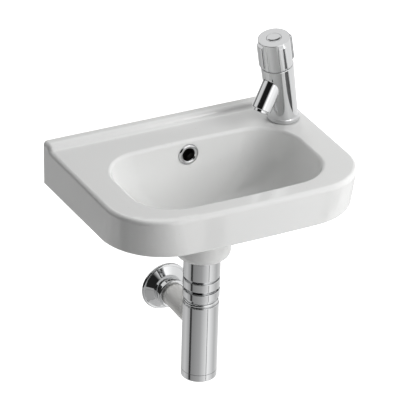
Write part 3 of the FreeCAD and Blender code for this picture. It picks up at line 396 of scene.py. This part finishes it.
# Trap bottle
# The bottle is drawn from chromed brass tube, with a rolled bead under its shoulder. The outlet pipe is
# brazed into its side, and inside hangs a plain brass dip tube between rubber seals.
BRASS = (0.70, 0.52, 0.26, 1)
BRASS_DULL = (0.52, 0.37, 0.19, 1)
brass, tree, shader, place = new_material("turned_brass", Metallic=1.0)
tarnish = add(tree, "ShaderNodeTexNoise", {"Vector": place, "Scale": 70.0, "Detail": 5.0})
tree.links.new(blend_colours(tree, tarnish.outputs["Fac"], BRASS, BRASS_DULL), shader.inputs["Base Color"])
film_roughness(tree, shader, place, low=0.2, high=0.42, cloud_scale=50.0, streak_scale=180.0)
stretched = add(tree, "ShaderNodeMapping", {"Vector": place, "Scale": (0.1, 0.1, 1.0)})
tool_lines = add(tree, "ShaderNodeTexNoise", {"Vector": stretched.outputs["Vector"], "Scale": 3000.0})
bump(tree, shader, tool_lines.outputs["Fac"], distance=0.00001)

BOTTLE_RADIUS, BOTTLE_BORE = 24.5, 23.2
bottle_corners = [
    (DIP_TUBE_HOLE, -134.0), (DIP_TUBE_HOLE, -145.3), (BOTTLE_BORE, -155.2), (BOTTLE_BORE, -253.0),
    (BOTTLE_RADIUS, -253.0, 0.3), (BOTTLE_RADIUS, -149.2, 0.8), (22.7, -149.2), (22.7, -148.7),
    (24.0, -148.7, 2.4), (24.0, -143.5, 2.4), (21.9, -143.5), (21.9, -139.3), (20.9, -139.3), (20.9, -134.0)]
dress(turned("trap_bottle_piece", bottle_corners, drain_place), chrome, "fixed_parts", "chrome", "trap_bottle")
for node in ("trap_inlet_seal", "trap_head_seal", "waste_top_seal"):
    dress(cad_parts[node], rubber, "fixed_parts", "rubber")
dress(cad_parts["trap_dip_tube"], brass, "fixed_parts", "brass")

# Outlet pipe
# The outlet pipe is a straight brass tube with a satin chrome finish. A small braze fillet joins it to the
# bottle, and a rolled mark near its end shows how far it goes into the wall socket.
PIPE_RADIUS, PIPE_BORE, PIPE_MARK, PIPE_END = 16.0, 15.0, 15.75, 15.0
BRAZE_FILLET, ROOT_STEPS, PIPE_INSET = 1.0, 7, 1.3
OUTLET_HEIGHT = -183.0
outlet_place = frame_at((0, 0, OUTLET_HEIGHT), WALLWARD, SIDEWAYS)


def saddle_root(radius, fillet, steps, reach_of, slope_of, around=160):
    """Root of a tube that leaves a curved wall. Round the tube, reach gives where its side meets the wall and
    slope how far the wall runs back per mm outwards; a quarter bend of that fillet joins the two."""
    turn = np.linspace(0, 2 * np.pi, around, endpoint=False)
    start, slope = reach_of(radius, turn), slope_of(radius, turn)
    bend = np.linspace(0, 1, steps)[:, None]
    outer = (1 - bend) ** 2 * fillet
    along = start + bend ** 2 * fillet - (1 - bend) ** 2 * fillet * slope
    return turn, radius + outer, along


def pipe_reach(radius, turn):
    """Distance along the pipe at which its side leaves the bottle's round wall."""
    across = radius * np.sin(turn)
    return np.sqrt(BOTTLE_RADIUS ** 2 - across ** 2) + DRAIN_Y


def pipe_slope(radius, turn, step=0.01):
    """How fast the bottle's wall falls back from the pipe's side, per mm further out, over a small step."""
    return (pipe_reach(radius, turn) - pipe_reach(radius + step, turn)) / step


turn, root_radius, root_along = saddle_root(PIPE_RADIUS, BRAZE_FILLET, ROOT_STEPS, pipe_reach, pipe_slope)
pipe_profile = rounded([
    (PIPE_RADIUS, -82.0), (PIPE_RADIUS, 1.0), (PIPE_MARK, 1.0), (PIPE_MARK, 2.0), (PIPE_RADIUS, 2.0),
    (PIPE_RADIUS, 14.5), (15.5, PIPE_END), (PIPE_BORE, PIPE_END, 0.2), (PIPE_BORE, -89.5)], False)
pipe_rest = turned_grid(pipe_profile)
pipe_root = np.stack([root_radius * np.cos(turn), root_radius * np.sin(turn), root_along], -1)
inner_end = np.stack([
    PIPE_BORE * np.cos(turn), PIPE_BORE * np.sin(turn), pipe_reach(PIPE_BORE, turn) - PIPE_INSET], -1)
pipe_grid = np.concatenate([inner_end[None], pipe_root, pipe_rest])
SATIN = (0.93, 0.925, 0.91, 1)
satin, tree, shader, place = new_material("satin_chrome", Metallic=1.0)
shader.inputs["Base Color"].default_value = SATIN
film_roughness(tree, shader, place, low=0.72, high=0.8, cloud_scale=26.0, streak_scale=90.0)
drawn = add(tree, "ShaderNodeMapping", {"Vector": place, "Scale": (1.0, 0.04, 1.0)})
lines = add(tree, "ShaderNodeTexNoise", {"Vector": drawn.outputs["Vector"], "Scale": 1500.0, "Detail": 2.0})
bump(tree, shader, lines.outputs["Fac"], distance=0.000004)
dress(surface_piece("trap_outlet_pipe_piece", [(pipe_grid, outlet_place, True, True)]),
      satin, "fixed_parts", "chrome", "trap_outlet_pipe")

# Cleaning cap
# The cleaning cap screws into the bottle's foot. It is turned from brass and chromed, with a coin slot
# underneath and a rubber O-ring round its plug.
dress(joined_copy("trap_bottom_cap"), chrome, "cleaning_cap", "chrome", "trap_bottom_cap")
dress(joined_copy("trap_cap_o_ring"), rubber, "cap_ring", "rubber", "trap_cap_o_ring")

# Wall rosette
# The rosette is spun from brass and chromed: a shallow cone with a rounded rim and a neck. It slides on the
# pipe and hides the hole in the wall, and a rubber ring inside its neck grips the pipe.
ROSETTE_RADIUS, NECK_RADIUS, NECK_BORE, WALL_GAP = 35.0, 21.0, 19.5, 6.0
rosette_place = frame_at((0, -WALL_GAP, OUTLET_HEIGHT), (0, -1, 0), SIDEWAYS)
dress(turned("wall_rosette_piece", [
    (33.5, 0.0), (ROSETTE_RADIUS, 0.0, 0.3), (ROSETTE_RADIUS, 3.2, 2.7), (31.7, 3.2), (31.2, 2.8),
    (NECK_RADIUS, 9.6, 1.0), (NECK_RADIUS, 26.0, 2.0), (16.3, 26.0, 0.6), (16.3, 23.5), (NECK_BORE, 23.5),
    (NECK_BORE, 8.6), (31.0, 0.9), (33.5, 0.9)], rosette_place),
    chrome, "rosette", "chrome", "wall_rosette")
dress(turned("rosette_grip_ring_piece", [
    (16.05, 19.5, 1.2), (19.45, 19.5), (19.45, 23.5), (16.05, 23.5)], rosette_place),
    rubber, "rosette", "rubber", "rosette_grip_ring")

# Tap body
# The tap's body is one chromed brass casting: a leaning barrel, a little wider at its top, on a round foot
# that runs up against it, with a straight spout that drops towards the bowl. A thin seal lies under the foot.
TAP_FOOT = np.array([146.0, -58.0, 70.0])
TAP_LEAN, TAP_HEADING, SPOUT_DROP = math.radians(12), math.radians(22), math.radians(55)
UP = np.array([0.0, 0.0, 1.0])
HEADING = np.array([-math.cos(TAP_HEADING), -math.sin(TAP_HEADING), 0.0])
TAP_AXIS = UP * math.cos(TAP_LEAN) + HEADING * math.sin(TAP_LEAN)
SPOUT_AXIS = HEADING * math.cos(SPOUT_DROP) - UP * math.sin(SPOUT_DROP)
ACROSS = np.cross(UP, HEADING)
tap_place = frame_at(TAP_FOOT, TAP_AXIS, ACROSS)
SPOUT_RISE = 76.5
spout_place = frame_at(TAP_FOOT + TAP_AXIS * SPOUT_RISE, SPOUT_AXIS, ACROSS)
tap_upright = frame_at((TAP_FOOT[0], TAP_FOOT[1], 0), UPRIGHT, WALLWARD)
BARREL_LOW, BARREL_TOP, BARREL_HEIGHT = 20.3, 22.2, 88.4
CHAMBER_RADIUS, CHAMBER_FLOOR = 10.6, 80.0
FOOT_BED, LEVEL_FROM = 71.4, 10.0
TAP_AROUND = 192


def barrel_radius(height):
    """Radius of the barrel at a height along its axis; it flares evenly."""
    return BARREL_LOW + (BARREL_TOP - BARREL_LOW) * height / BARREL_HEIGHT


def barrel_grid():
    """Barrel: a turned surface whose lower end is cut level in the foot. Round the axis, a straight line runs
    up from the level cut, goes over the rounded top edge and into the valve chamber."""
    turn = np.linspace(0, 2 * np.pi, TAP_AROUND, endpoint=False)
    outward = np.cos(turn)[:, None] * tap_place[:3, 0] + np.sin(turn)[:, None] * tap_place[:3, 1]
    lowest = (FOOT_BED - TAP_FOOT[2] - BARREL_LOW * outward[:, 2]) / TAP_AXIS[2]
    profile = rounded([
        (barrel_radius(LEVEL_FROM), LEVEL_FROM), (BARREL_TOP, BARREL_HEIGHT, 0.8),
        (CHAMBER_RADIUS, BARREL_HEIGHT), (CHAMBER_RADIUS, CHAMBER_FLOOR), (0, CHAMBER_FLOOR)], False)
    share = np.linspace(0, 1, 5)[:-1, None]
    height = lowest * (1 - share) + LEVEL_FROM * share
    radius = barrel_radius(height)
    low_rows = np.stack([radius * np.cos(turn), radius * np.sin(turn), height], -1)
    pole = np.broadcast_to([0, 0, lowest.mean()], (1, TAP_AROUND, 3))
    return np.concatenate([pole, low_rows, turned_grid(profile, TAP_AROUND)])


def spout_reach(radius, turn, farthest=80.0, halvings=50):
    """Distance along the spout at which a line on a tube of that radius leaves the barrel, found by halving."""
    tube = spout_place[:3, 3] - TAP_FOOT + radius * (
        np.cos(turn)[:, None] * spout_place[:3, 0] + np.sin(turn)[:, None] * spout_place[:3, 1])
    low, high = np.zeros_like(turn), np.full_like(turn, farthest)
    for _ in range(halvings):
        middle = (low + high) / 2
        point = tube + middle[:, None] * SPOUT_AXIS
        height = point @ TAP_AXIS
        off_axis = np.linalg.norm(point - height[:, None] * TAP_AXIS, axis=1)
        inside = off_axis < barrel_radius(height)
        low, high = np.where(inside, middle, low), np.where(inside, high, middle)
    return low


def spout_slope(radius, turn, step=0.05):
    """How fast the barrel falls back from the spout's side, per mm further out, over a small step."""
    return (spout_reach(radius, turn) - spout_reach(radius + step, turn)) / step


SPOUT_RADIUS, SPOUT_END, SPOUT_FILLET = 13.4, 56.2, 0.9
SPOUT_BORE, BORE_FLOOR, SIDE_END, TIP_START = 9.55, 46.0, 54.6, 54.8
BURIED_RADIUS, BURIED_DEPTH, BURIED_POLE = 11.0, 4.0, 20.0
turn, root_radius, root_along = saddle_root(
    SPOUT_RADIUS, SPOUT_FILLET, ROOT_STEPS, spout_reach, spout_slope, TAP_AROUND)
spout_root = np.stack([root_radius * np.cos(turn), root_radius * np.sin(turn), root_along], -1)
buried = np.stack([
    BURIED_RADIUS * np.cos(turn), BURIED_RADIUS * np.sin(turn), root_along[0] - BURIED_DEPTH], -1)
share = np.linspace(0, 1, 8)[1:-1, None]
side_along = root_along[-1] * (1 - share) + SIDE_END * share
side = np.stack([
    SPOUT_RADIUS * np.cos(turn) + 0 * share, SPOUT_RADIUS * np.sin(turn) + 0 * share, side_along], -1)
spout_tip = turned_grid(rounded([
    (SPOUT_RADIUS, TIP_START), (SPOUT_RADIUS, SPOUT_END, 1.0), (SPOUT_BORE, SPOUT_END, 0.3),
    (SPOUT_BORE, BORE_FLOOR), (0, BORE_FLOOR)], False), TAP_AROUND)
spout_pole = np.broadcast_to([0, 0, BURIED_POLE], (1, TAP_AROUND, 3))
spout_grid = np.concatenate([spout_pole, buried[None], spout_root, side, spout_tip])
FOOT_RADIUS, FOOT_LOW, FOOT_TOP, SHANK_HOLE = 22.2, 70.8, 80.2, 12.15
foot_shell = turned_shell([
    (SHANK_HOLE, FOOT_LOW), (FOOT_RADIUS, FOOT_LOW, 0.3), (FOOT_RADIUS, 75.6, 0.6), (18.6, FOOT_TOP, 0.4),
    (SHANK_HOLE, FOOT_TOP)], tap_upright)
dress(surface_piece("tap_body_piece", [
    (barrel_grid(), tap_place, False, True), (spout_grid, spout_place, False, True), foot_shell]),
    chrome, "fixed_parts", "chrome", "tap_body")
dress(turned("tap_base_seal_piece", [
    (SHANK_HOLE, 70.0), (21.0, 70.0, 0.2), (21.0, FOOT_LOW, 0.2), (SHANK_HOLE, FOOT_LOW)], tap_upright),
    rubber, "fixed_parts", "rubber", "tap_base_seal")

# Tap fixing
# Under the deck the tap is clamped by its brass shank, a rubber and a zinc-plated steel washer and a brass
# nut. The shank's thread is cut, and ends in the narrower supply thread.
STEEL = (0.60, 0.60, 0.61, 1)
STEEL_DULL = (0.46, 0.46, 0.48, 1)
steel, tree, shader, place = new_material("plated_steel", Metallic=1.0)
spangle = add(tree, "ShaderNodeTexVoronoi", {"Vector": place, "Scale": 260.0})
spangle_tone = add(tree, "ShaderNodeSeparateColor", {"Color": spangle.outputs["Color"]})
plated = blend_colours(tree, spangle_tone.outputs["Red"], STEEL, STEEL_DULL)
tree.links.new(plated, shader.inputs["Base Color"])
film_roughness(tree, shader, place, low=0.3, high=0.5, cloud_scale=60.0, streak_scale=220.0)
bump(tree, shader, spangle.outputs["Distance"], distance=0.00001)


def threaded_grid(radius, low, high, pitch, depth, around=72, per_pitch=8):
    """Cut thread: at the turn a and height z the radius dips by a triangle wave of z / pitch - a / full turn;
    the wave dies out at both ends."""
    turn = np.linspace(0, 2 * np.pi, around, endpoint=False)
    height = np.linspace(low, high, int((high - low) / pitch * per_pitch) + 1)[:, None]
    phase = (height / pitch - turn / (2 * np.pi)) % 1.0
    fade = np.clip(np.minimum(height - low, high - height) / pitch, 0, 1)
    cut = radius - depth * fade * np.abs(2 * phase - 1)
    return np.stack([cut * np.cos(turn), cut * np.sin(turn), height + 0 * turn], -1)


def ring_row(radius, height, around=72):
    """One level ring of points."""
    return turned_grid(np.array([[radius, height]]), around)


THREAD = {"pitch": 1.814, "depth": 0.95}
WATERWAY, SUPPLY_RADIUS, SHANK_RADIUS = 6.5, 10.48, 12.0
SHANK_END, SHANK_STEP, SHANK_TOP = 10.0, 32.0, 79.8
shank_grid = np.concatenate([
    ring_row(WATERWAY, SHANK_END), ring_row(9.48, SHANK_END),
    threaded_grid(SUPPLY_RADIUS, 11.0, 31.6, **THREAD),
    ring_row(10.0, SHANK_STEP), ring_row(11.6, SHANK_STEP),
    threaded_grid(SHANK_RADIUS, 32.4, 69.4, **THREAD),
    ring_row(SHANK_RADIUS, SHANK_TOP), ring_row(WATERWAY, SHANK_TOP)])
dress(surface_piece("tap_shank_piece", [(shank_grid, tap_upright, True, True)], 60),
      brass, "fixed_parts", "brass", "tap_shank")


def hexagon_nut_grid(across_flats, bore, low, high, chamfer_start, end_zone=1.6, lead_in=0.8, around=144):
    """Hexagon nut: at the turn a the side lies at half the flats over the cosine of the angle from the nearest
    flat, and in the zone at each end a cone trims the corners. The section closes through the bore, which has
    a lead-in at both ends."""
    turn = np.linspace(0, 2 * np.pi, around, endpoint=False)
    flat = across_flats / 2 / np.cos(turn % (np.pi / 3) - np.pi / 6)
    height = np.concatenate([low + np.linspace(0, end_zone, 9), high - np.linspace(end_zone, 0, 9)])[:, None]
    cone = chamfer_start + np.minimum(height - low, high - height) * math.tan(math.radians(60))
    side = np.minimum(flat, cone)
    outside = np.stack([side * np.cos(turn), side * np.sin(turn), height + 0 * turn], -1)
    return np.concatenate([
        outside, ring_row(bore + lead_in, high, around), ring_row(bore, high - lead_in, around),
        ring_row(bore, low + lead_in, around), ring_row(bore + lead_in, low, around)])


NUT_TOP, STEEL_TOP, DECK_UNDERSIDE, WASHER_RADIUS = 55.0, 57.0, 60.0, 21.5
nut_grid = hexagon_nut_grid(across_flats=32.0, bore=SHANK_HOLE, low=46.0, high=NUT_TOP, chamfer_start=16.1)
dress(surface_piece("tap_fixing_nut_piece", [(nut_grid, tap_upright, True, True)], 18),
      brass, "fixed_parts", "brass", "tap_fixing_nut")
dress(turned("tap_clamp_washer_piece", [
    (SHANK_HOLE, NUT_TOP, 0.2), (WASHER_RADIUS, NUT_TOP, 0.4), (WASHER_RADIUS, STEEL_TOP, 0.2),
    (SHANK_HOLE, STEEL_TOP)], tap_upright),
    steel, "fixed_parts", "steel", "tap_clamp_washer")
dress(turned("tap_rubber_washer_piece", [
    (SHANK_HOLE, STEEL_TOP, 0.4), (WASHER_RADIUS, STEEL_TOP, 0.8), (WASHER_RADIUS, DECK_UNDERSIDE, 0.8),
    (SHANK_HOLE, DECK_UNDERSIDE)], tap_upright),
    rubber, "fixed_parts", "rubber", "tap_rubber_washer")

# Headwork
# Inside the barrel sits a screw-in brass headwork with two lapped ceramic discs. Its spindle turns the
# upper disc, sealed by an O-ring and kept in by a steel clip.
DISC = (0.80, 0.78, 0.73, 1)
DISC_GREY = (0.66, 0.65, 0.62, 1)
lapped, tree, shader, place = new_material("lapped_ceramic", IOR=1.7)
grain = add(tree, "ShaderNodeTexNoise", {"Vector": place, "Scale": 800.0, "Detail": 4.0})
tree.links.new(blend_colours(tree, grain.outputs["Fac"], DISC, DISC_GREY), shader.inputs["Base Color"])
film_roughness(tree, shader, place, low=0.15, high=0.3, cloud_scale=120.0, streak_scale=400.0)
bump(tree, shader, grain.outputs["Fac"], distance=0.000008)
headwork_finishes = {
    "tap_headwork": (brass, "fixed_parts", "brass"),
    "headwork_seat_seal": (rubber, "fixed_parts", "rubber"),
    "fixed_valve_disc": (lapped, "fixed_parts", "disc_ceramic"),
    "moving_valve_disc": (lapped, "handle", "disc_ceramic"),
    "valve_spindle": (brass, "handle", "brass"),
    "spindle_o_ring": (rubber, "handle", "rubber"),
    "spindle_clip": (steel, "handle", "steel"),
    "knob_screw": (steel, "handle", "steel"),
}
for node, (finish, body, slot) in headwork_finishes.items():
    dress(joined_copy(node), finish, body, slot, node)

# Knob
# The knob is a hollow chromed casting with four raised grip ribs that stop short of its top. A screw holds
# it on the spindle, under a push-in index cap with a dished face.
KNOB_LOW, KNOB_TOP, KNOB_RADIUS, KNOB_BORE = 89.0, 131.0, 21.5, 18.5
RIB_PHASE, RIB_HALF_WIDTH, RIB_FLANK, RIB_OUT = 68.0, 15.5, 1.2, 2.8
CAP_SEAT, CAP_FLOOR, SCREW_HOLE, KNOB_CEILING = 10.15, 126.2, 2.7, 122.2


def knob_grid():
    """Knob: the plain side's section and a rib's section run through matching points, and round the axis a
    share that rises smoothly over each rib's flanks blends the first into the second. The lines up the side
    crowd together over the flanks."""
    quarter = np.concatenate([
        np.linspace(-45, -17.5, 12), np.linspace(-17, -14, 13), np.linspace(-13.5, 13.5, 13),
        np.linspace(14, 17, 13), np.linspace(17.5, 45, 12)[:-1]])
    from_rib = np.tile(quarter, 4)
    turn = np.radians(from_rib + RIB_PHASE + np.repeat([0, 90, 180, 270], len(quarter)))
    rise = np.clip((RIB_HALF_WIDTH + RIB_FLANK - np.abs(from_rib)) / (2 * RIB_FLANK), 0, 1)
    rise = rise ** 2 * (3 - 2 * rise)
    rib_out = KNOB_RADIUS + RIB_OUT
    rib_top = KNOB_TOP - 2.0
    rib = rounded([
        (KNOB_RADIUS, KNOB_LOW), (rib_out, KNOB_LOW + 4.0, 1.5), (rib_out, rib_top - RIB_OUT, 0.5),
        (KNOB_RADIUS + 0.02, rib_top), (KNOB_RADIUS, KNOB_TOP - 1.4), (KNOB_RADIUS, KNOB_TOP, 1.0),
        (CAP_SEAT, KNOB_TOP, 0.3), (CAP_SEAT, CAP_FLOOR), (SCREW_HOLE, CAP_FLOOR), (SCREW_HOLE, KNOB_CEILING),
        (KNOB_BORE, KNOB_CEILING), (KNOB_BORE, KNOB_LOW), (20.5, KNOB_LOW)], True)
    plain = np.stack([np.minimum(rib[:, 0], KNOB_RADIUS), rib[:, 1]], 1)
    radius = plain[:, 0, None] + (rib[:, 0] - plain[:, 0])[:, None] * rise
    return np.stack([radius * np.cos(turn), radius * np.sin(turn), rib[:, 1, None] + 0 * turn], -1)


dress(surface_piece("tap_knob_piece", [
    (knob_grid(), tap_place, True, True),
    turned_shell([(4.15, 105.8), (8.0, 105.8), (8.0, 122.4), (4.15, 122.4)], tap_place, True, 48)]),
    chrome, "handle", "chrome", "tap_knob")
CAP_RADIUS, CAP_BORE, CAP_CEILING = 9.9, 8.8, 128.7
index_face = [
    (0, 129.35), (1.5, 129.4), (3.0, 129.55), (4.5, 129.79), (6.0, 130.13), (7.5, 130.57), (8.9, 131.05, 0.2),
    (CAP_RADIUS, KNOB_TOP, 0.3), (CAP_RADIUS, CAP_FLOOR), (CAP_BORE, CAP_FLOOR), (CAP_BORE, CAP_CEILING),
    (0, CAP_CEILING)]
dress(turned("index_cap_piece", index_face, tap_place, False), chrome, "handle", "chrome", "index_cap")

# Aerator
# The aerator screws into the spout's end: a chromed housing, a moulded plastic insert with rings of water
# holes, and a rubber seal behind it.
PLASTIC = (0.62, 0.62, 0.60, 1)
PLASTIC_LIGHT = (0.70, 0.70, 0.68, 1)
plastic, tree, shader, place = new_material("moulded_plastic", IOR=1.49)
mottle = add(tree, "ShaderNodeTexNoise", {"Vector": place, "Scale": 300.0, "Detail": 3.0})
tree.links.new(blend_colours(tree, mottle.outputs["Fac"], PLASTIC, PLASTIC_LIGHT), shader.inputs["Base Color"])
film_roughness(tree, shader, place, low=0.35, high=0.5, cloud_scale=150.0, streak_scale=400.0)
bump(tree, shader, mottle.outputs["Fac"], distance=0.00002)
HOUSING_RADIUS, HOUSING_BORE, HOUSING_LIP, HOUSING_END, LIP_BACK = 9.4, 7.5, 6.8, 59.7, 58.5
dress(turned("aerator_housing_piece", [
    (HOUSING_BORE, BORE_FLOOR), (HOUSING_RADIUS, BORE_FLOOR), (HOUSING_RADIUS, HOUSING_END, 0.6),
    (HOUSING_LIP, HOUSING_END, 0.3), (HOUSING_LIP, LIP_BACK), (HOUSING_BORE, LIP_BACK)], spout_place),
    chrome, "fixed_parts", "chrome", "aerator_housing")
dress(joined_copy("aerator_insert"), plastic, "fixed_parts", "plastic", "aerator_insert")
dress(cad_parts["aerator_seal"], rubber, "fixed_parts", "rubber")

# Studio
# A plain pale paper floor lies under the hanging basin and shows as white further out. Soft square lamps
# stand at the front right, at the right side, behind and at the left, and a pale surround adds some fill.
FLOOR_Z, FLOOR_HALF = -0.78, 20.0
FLOOR_GREY, WHITE = (0.8, 0.8, 0.8, 1), (1, 1, 1, 1)
FLOOR_NEAR, FLOOR_FAR, FLOOR_NEAR_GLOW = 1.0, 2.0, 0.66
floor_mesh = bpy.data.meshes.new("floor")
floor_mesh.from_pydata(
    [(-FLOOR_HALF, -FLOOR_HALF, FLOOR_Z), (FLOOR_HALF, -FLOOR_HALF, FLOOR_Z),
     (FLOOR_HALF, FLOOR_HALF, FLOOR_Z), (-FLOOR_HALF, FLOOR_HALF, FLOOR_Z)], [], [(0, 1, 2, 3)])
floor = bpy.data.objects.new("floor", floor_mesh)
bpy.context.scene.collection.objects.link(floor)
paper = bpy.data.materials.new("floor_paper")
paper.use_nodes = True
tree = paper.node_tree
tree.nodes.clear()
ray = add(tree, "ShaderNodeLightPath")
matt = add(tree, "ShaderNodeBsdfDiffuse", {"Color": FLOOR_GREY})
spot = add(tree, "ShaderNodeTexCoord")
reach = add(tree, "ShaderNodeVectorMath", {0: spot.outputs["Object"]}, operation="LENGTH")
fill = add(tree, "ShaderNodeMapRange", {
    "Value": reach.outputs["Value"], "From Min": FLOOR_NEAR, "From Max": FLOOR_FAR,
    "To Min": FLOOR_NEAR_GLOW, "To Max": 1.0})
own = add(tree, "ShaderNodeMath", {0: ray.outputs["Is Camera Ray"], 1: fill.outputs["Result"]},
          operation="MULTIPLY")
seen = add(tree, "ShaderNodeEmission", {"Color": WHITE, "Strength": own.outputs["Value"]})
both = add(tree, "ShaderNodeAddShader", {0: matt.outputs["BSDF"], 1: seen.outputs["Emission"]})
add(tree, "ShaderNodeOutputMaterial", {"Surface": both.outputs["Shader"]})
floor_mesh.materials.append(paper)

world = bpy.data.worlds.new("studio")
bpy.context.scene.world = world
world.use_nodes = True
tree = world.node_tree
tree.nodes.clear()
ray = add(tree, "ShaderNodeLightPath")
shown = add(tree, "ShaderNodeMath", {0: ray.outputs["Is Camera Ray"], 1: ray.outputs["Is Glossy Ray"]},
            operation="MAXIMUM")
shown = add(tree, "ShaderNodeMath", {0: shown.outputs["Value"], 1: ray.outputs["Is Transmission Ray"]},
            operation="MAXIMUM")
AMBIENT = 0.19
strength = add(tree, "ShaderNodeMapRange", {"Value": shown.outputs["Value"], "To Min": AMBIENT, "To Max": 1.0})
sky = add(tree, "ShaderNodeBackground", {"Color": WHITE, "Strength": strength.outputs["Result"]})
add(tree, "ShaderNodeOutputWorld", {"Surface": sky.outputs["Background"]})


LAMP_AIM = Vector((0, -0.12, 0))


def soft_lamp(name, place, size, power):
    """Square area lamp at a place, turned towards the basin and not mirrored in it; its power is in watts."""
    data = bpy.data.lights.new(name, "AREA")
    data.size, data.energy = size, power
    lamp = bpy.data.objects.new(name, data)
    lamp.location = place
    lamp.rotation_euler = (LAMP_AIM - Vector(place)).to_track_quat("-Z", "Y").to_euler()
    lamp.visible_glossy = False
    bpy.context.scene.collection.objects.link(lamp)


soft_lamp("key_lamp", (1.32, -1.66, 1.10), size=1.4, power=33)
soft_lamp("low_lamp", (1.62, -1.74, 0.11), size=1.2, power=10.7)
soft_lamp("side_lamp", (1.94, -0.32, 1.22), size=0.7, power=5)
soft_lamp("back_lamp", (0.75, 1.05, 1.91), size=1.4, power=25)
soft_lamp("left_lamp", (-1.35, 1.2, 0.35), size=0.8, power=4.6)

# Studio cloths
# Cloths and stands round the set are seen only by reflections and give the chrome its light and dark bands:
# curtains with a skirting, a floor cloth, two stands, a dark box, a strip light and a dark band behind.
CLOTH_MIDDLE = (0.0, -0.1)
CAMERA_SIDE = (-0.4698, -0.8828)
CAMERA_AZIMUTH = math.atan2(CAMERA_SIDE[1], CAMERA_SIDE[0])
CLOTH_COLUMNS = 181
cloth = bpy.data.materials.new("studio_cloth")
cloth.use_nodes = True
cloth.cycles.emission_sampling = "NONE"
tree = cloth.node_tree
tree.nodes.clear()
tone = add(tree, "ShaderNodeAttribute", attribute_name="tone")
sheen = add(tree, "ShaderNodeEmission", {"Color": WHITE, "Strength": tone.outputs["Fac"]})
add(tree, "ShaderNodeOutputMaterial", {"Surface": sheen.outputs["Emission"]})


def studio_cloth(name, path, tones):
    """Cloth on a path of (distance, height, share of its brightness), carried round the set. Tones are
    (degrees to the right of the camera, brightness) in order, and run evenly from one to the next."""
    degrees, bright = np.array(tones, float).T
    turn_deg = np.linspace(degrees[0], degrees[-1], CLOTH_COLUMNS)
    angle = CAMERA_AZIMUTH + np.radians(turn_deg)
    distance, height, share = np.array(path, float).T[:, :, None]
    grid = np.stack([
        CLOTH_MIDDLE[0] + distance * np.cos(angle), CLOTH_MIDDLE[1] + distance * np.sin(angle),
        height + 0 * angle], -1)
    mesh = bpy.data.meshes.new(name)
    mesh.from_pydata(grid.reshape(-1, 3), [], grid_faces(len(path), CLOTH_COLUMNS, False, False))
    brightness = mesh.attributes.new("tone", "FLOAT", "POINT")
    brightness.data.foreach_set("value", (share * np.interp(turn_deg, degrees, bright)).ravel())
    mesh.materials.append(cloth)
    piece = bpy.data.objects.new(name, mesh)
    bpy.context.scene.collection.objects.link(piece)
    piece.visible_camera = piece.visible_diffuse = piece.visible_shadow = piece.visible_transmission = False


studio_cloth("upper_curtain", [(1.5, 0.38, 1), (1.5, 1.75, 1)], [
    (-180, 1.0), (-80, 0.9), (-64, 0.015), (7, 0.015), (19, 0.9), (28, 1.7), (60, 1.5), (90, 1.0),
    (180, 1.0)])
studio_cloth("lower_curtain", [(1.5, -0.62, 1), (1.5, 0.38, 1)], [
    (-180, 1.0), (-145, 0.6), (-128, 0.03), (14, 0.02), (32, 1.3), (60, 1.4), (90, 1.1), (180, 1.0)])
studio_cloth("skirting", [(1.5, -0.78, 1), (1.5, -0.62, 1)], [
    (-180, 1.0), (-145, 0.6), (-120, 0.5), (0, 0.5), (30, 1.0), (180, 1.0)])
studio_cloth("floor_cloth", [(0.2, -0.775, 1.1), (1.0, -0.775, 1.0), (1.45, -0.775, 0.8)], [
    (-180, 0.6), (-140, 0.6), (-100, 0.8), (-55, 0.33), (0, 0.52), (55, 1.25), (100, 0.7), (140, 0.9),
    (180, 1.0)])
studio_cloth("black_stand", [(0.75, -0.77, 1), (0.75, -0.3, 1)], [(-67, 0.06), (-53, 0.06)])
studio_cloth("thin_stand", [(0.75, -0.77, 1), (0.75, -0.3, 1)], [(44.5, 0.2), (47.5, 0.2)])
studio_cloth("dark_box", [(1.28, -0.77, 1), (1.46, -0.77, 1), (1.46, -0.65, 1)], [(64, 0.2), (97, 0.08)])
studio_cloth("strip_light", [(1.4, 1.05, 1), (1.4, 1.72, 1)], [(62, 4.5), (66, 4.5)])
studio_cloth("back_band", [(1.46, 0.1, 1), (1.46, 1.0, 1)], [(140, 0.1), (220, 0.1)])

# Camera
# The camera has a long lens and stands at the photograph's viewing angle. Its place is moved sideways and up
# so that the basin sits in the frame as in the photograph.
AIM = np.array([0.0, -140.0, 10.0])
VIEW_AZIMUTH, VIEW_ELEVATION, VIEW_ROLL = math.radians(28.02), math.radians(28.73), math.radians(1.69)
VIEW_DISTANCE, MOVED_LEFT, MOVED_UP = 3942.0, 17.6, 6.91
SENSOR_WIDTH, LENS_LENGTH, VIEW_END = 36.0, 271.1, 50.0
forward = np.array([math.sin(VIEW_AZIMUTH) * math.cos(VIEW_ELEVATION),
                    math.cos(VIEW_AZIMUTH) * math.cos(VIEW_ELEVATION), -math.sin(VIEW_ELEVATION)])
right = np.cross(forward, UP) / np.linalg.norm(np.cross(forward, UP))
upward = np.cross(right, forward)
right, upward = (math.cos(VIEW_ROLL) * right + math.sin(VIEW_ROLL) * upward,
                 math.cos(VIEW_ROLL) * upward - math.sin(VIEW_ROLL) * right)
stand = (AIM - forward * VIEW_DISTANCE - right * MOVED_LEFT + upward * MOVED_UP) * MM
lens = bpy.data.cameras.new("camera")
lens.sensor_width, lens.lens, lens.clip_end = SENSOR_WIDTH, LENS_LENGTH, VIEW_END
camera = bpy.data.objects.new("camera", lens)
camera.matrix_world = Matrix((
    (right[0], upward[0], -forward[0], stand[0]), (right[1], upward[1], -forward[1], stand[1]),
    (right[2], upward[2], -forward[2], stand[2]), (0, 0, 0, 1)))
bpy.context.scene.collection.objects.link(camera)
bpy.context.scene.camera = camera
bpy.context.scene.view_settings.view_transform = "Standard"
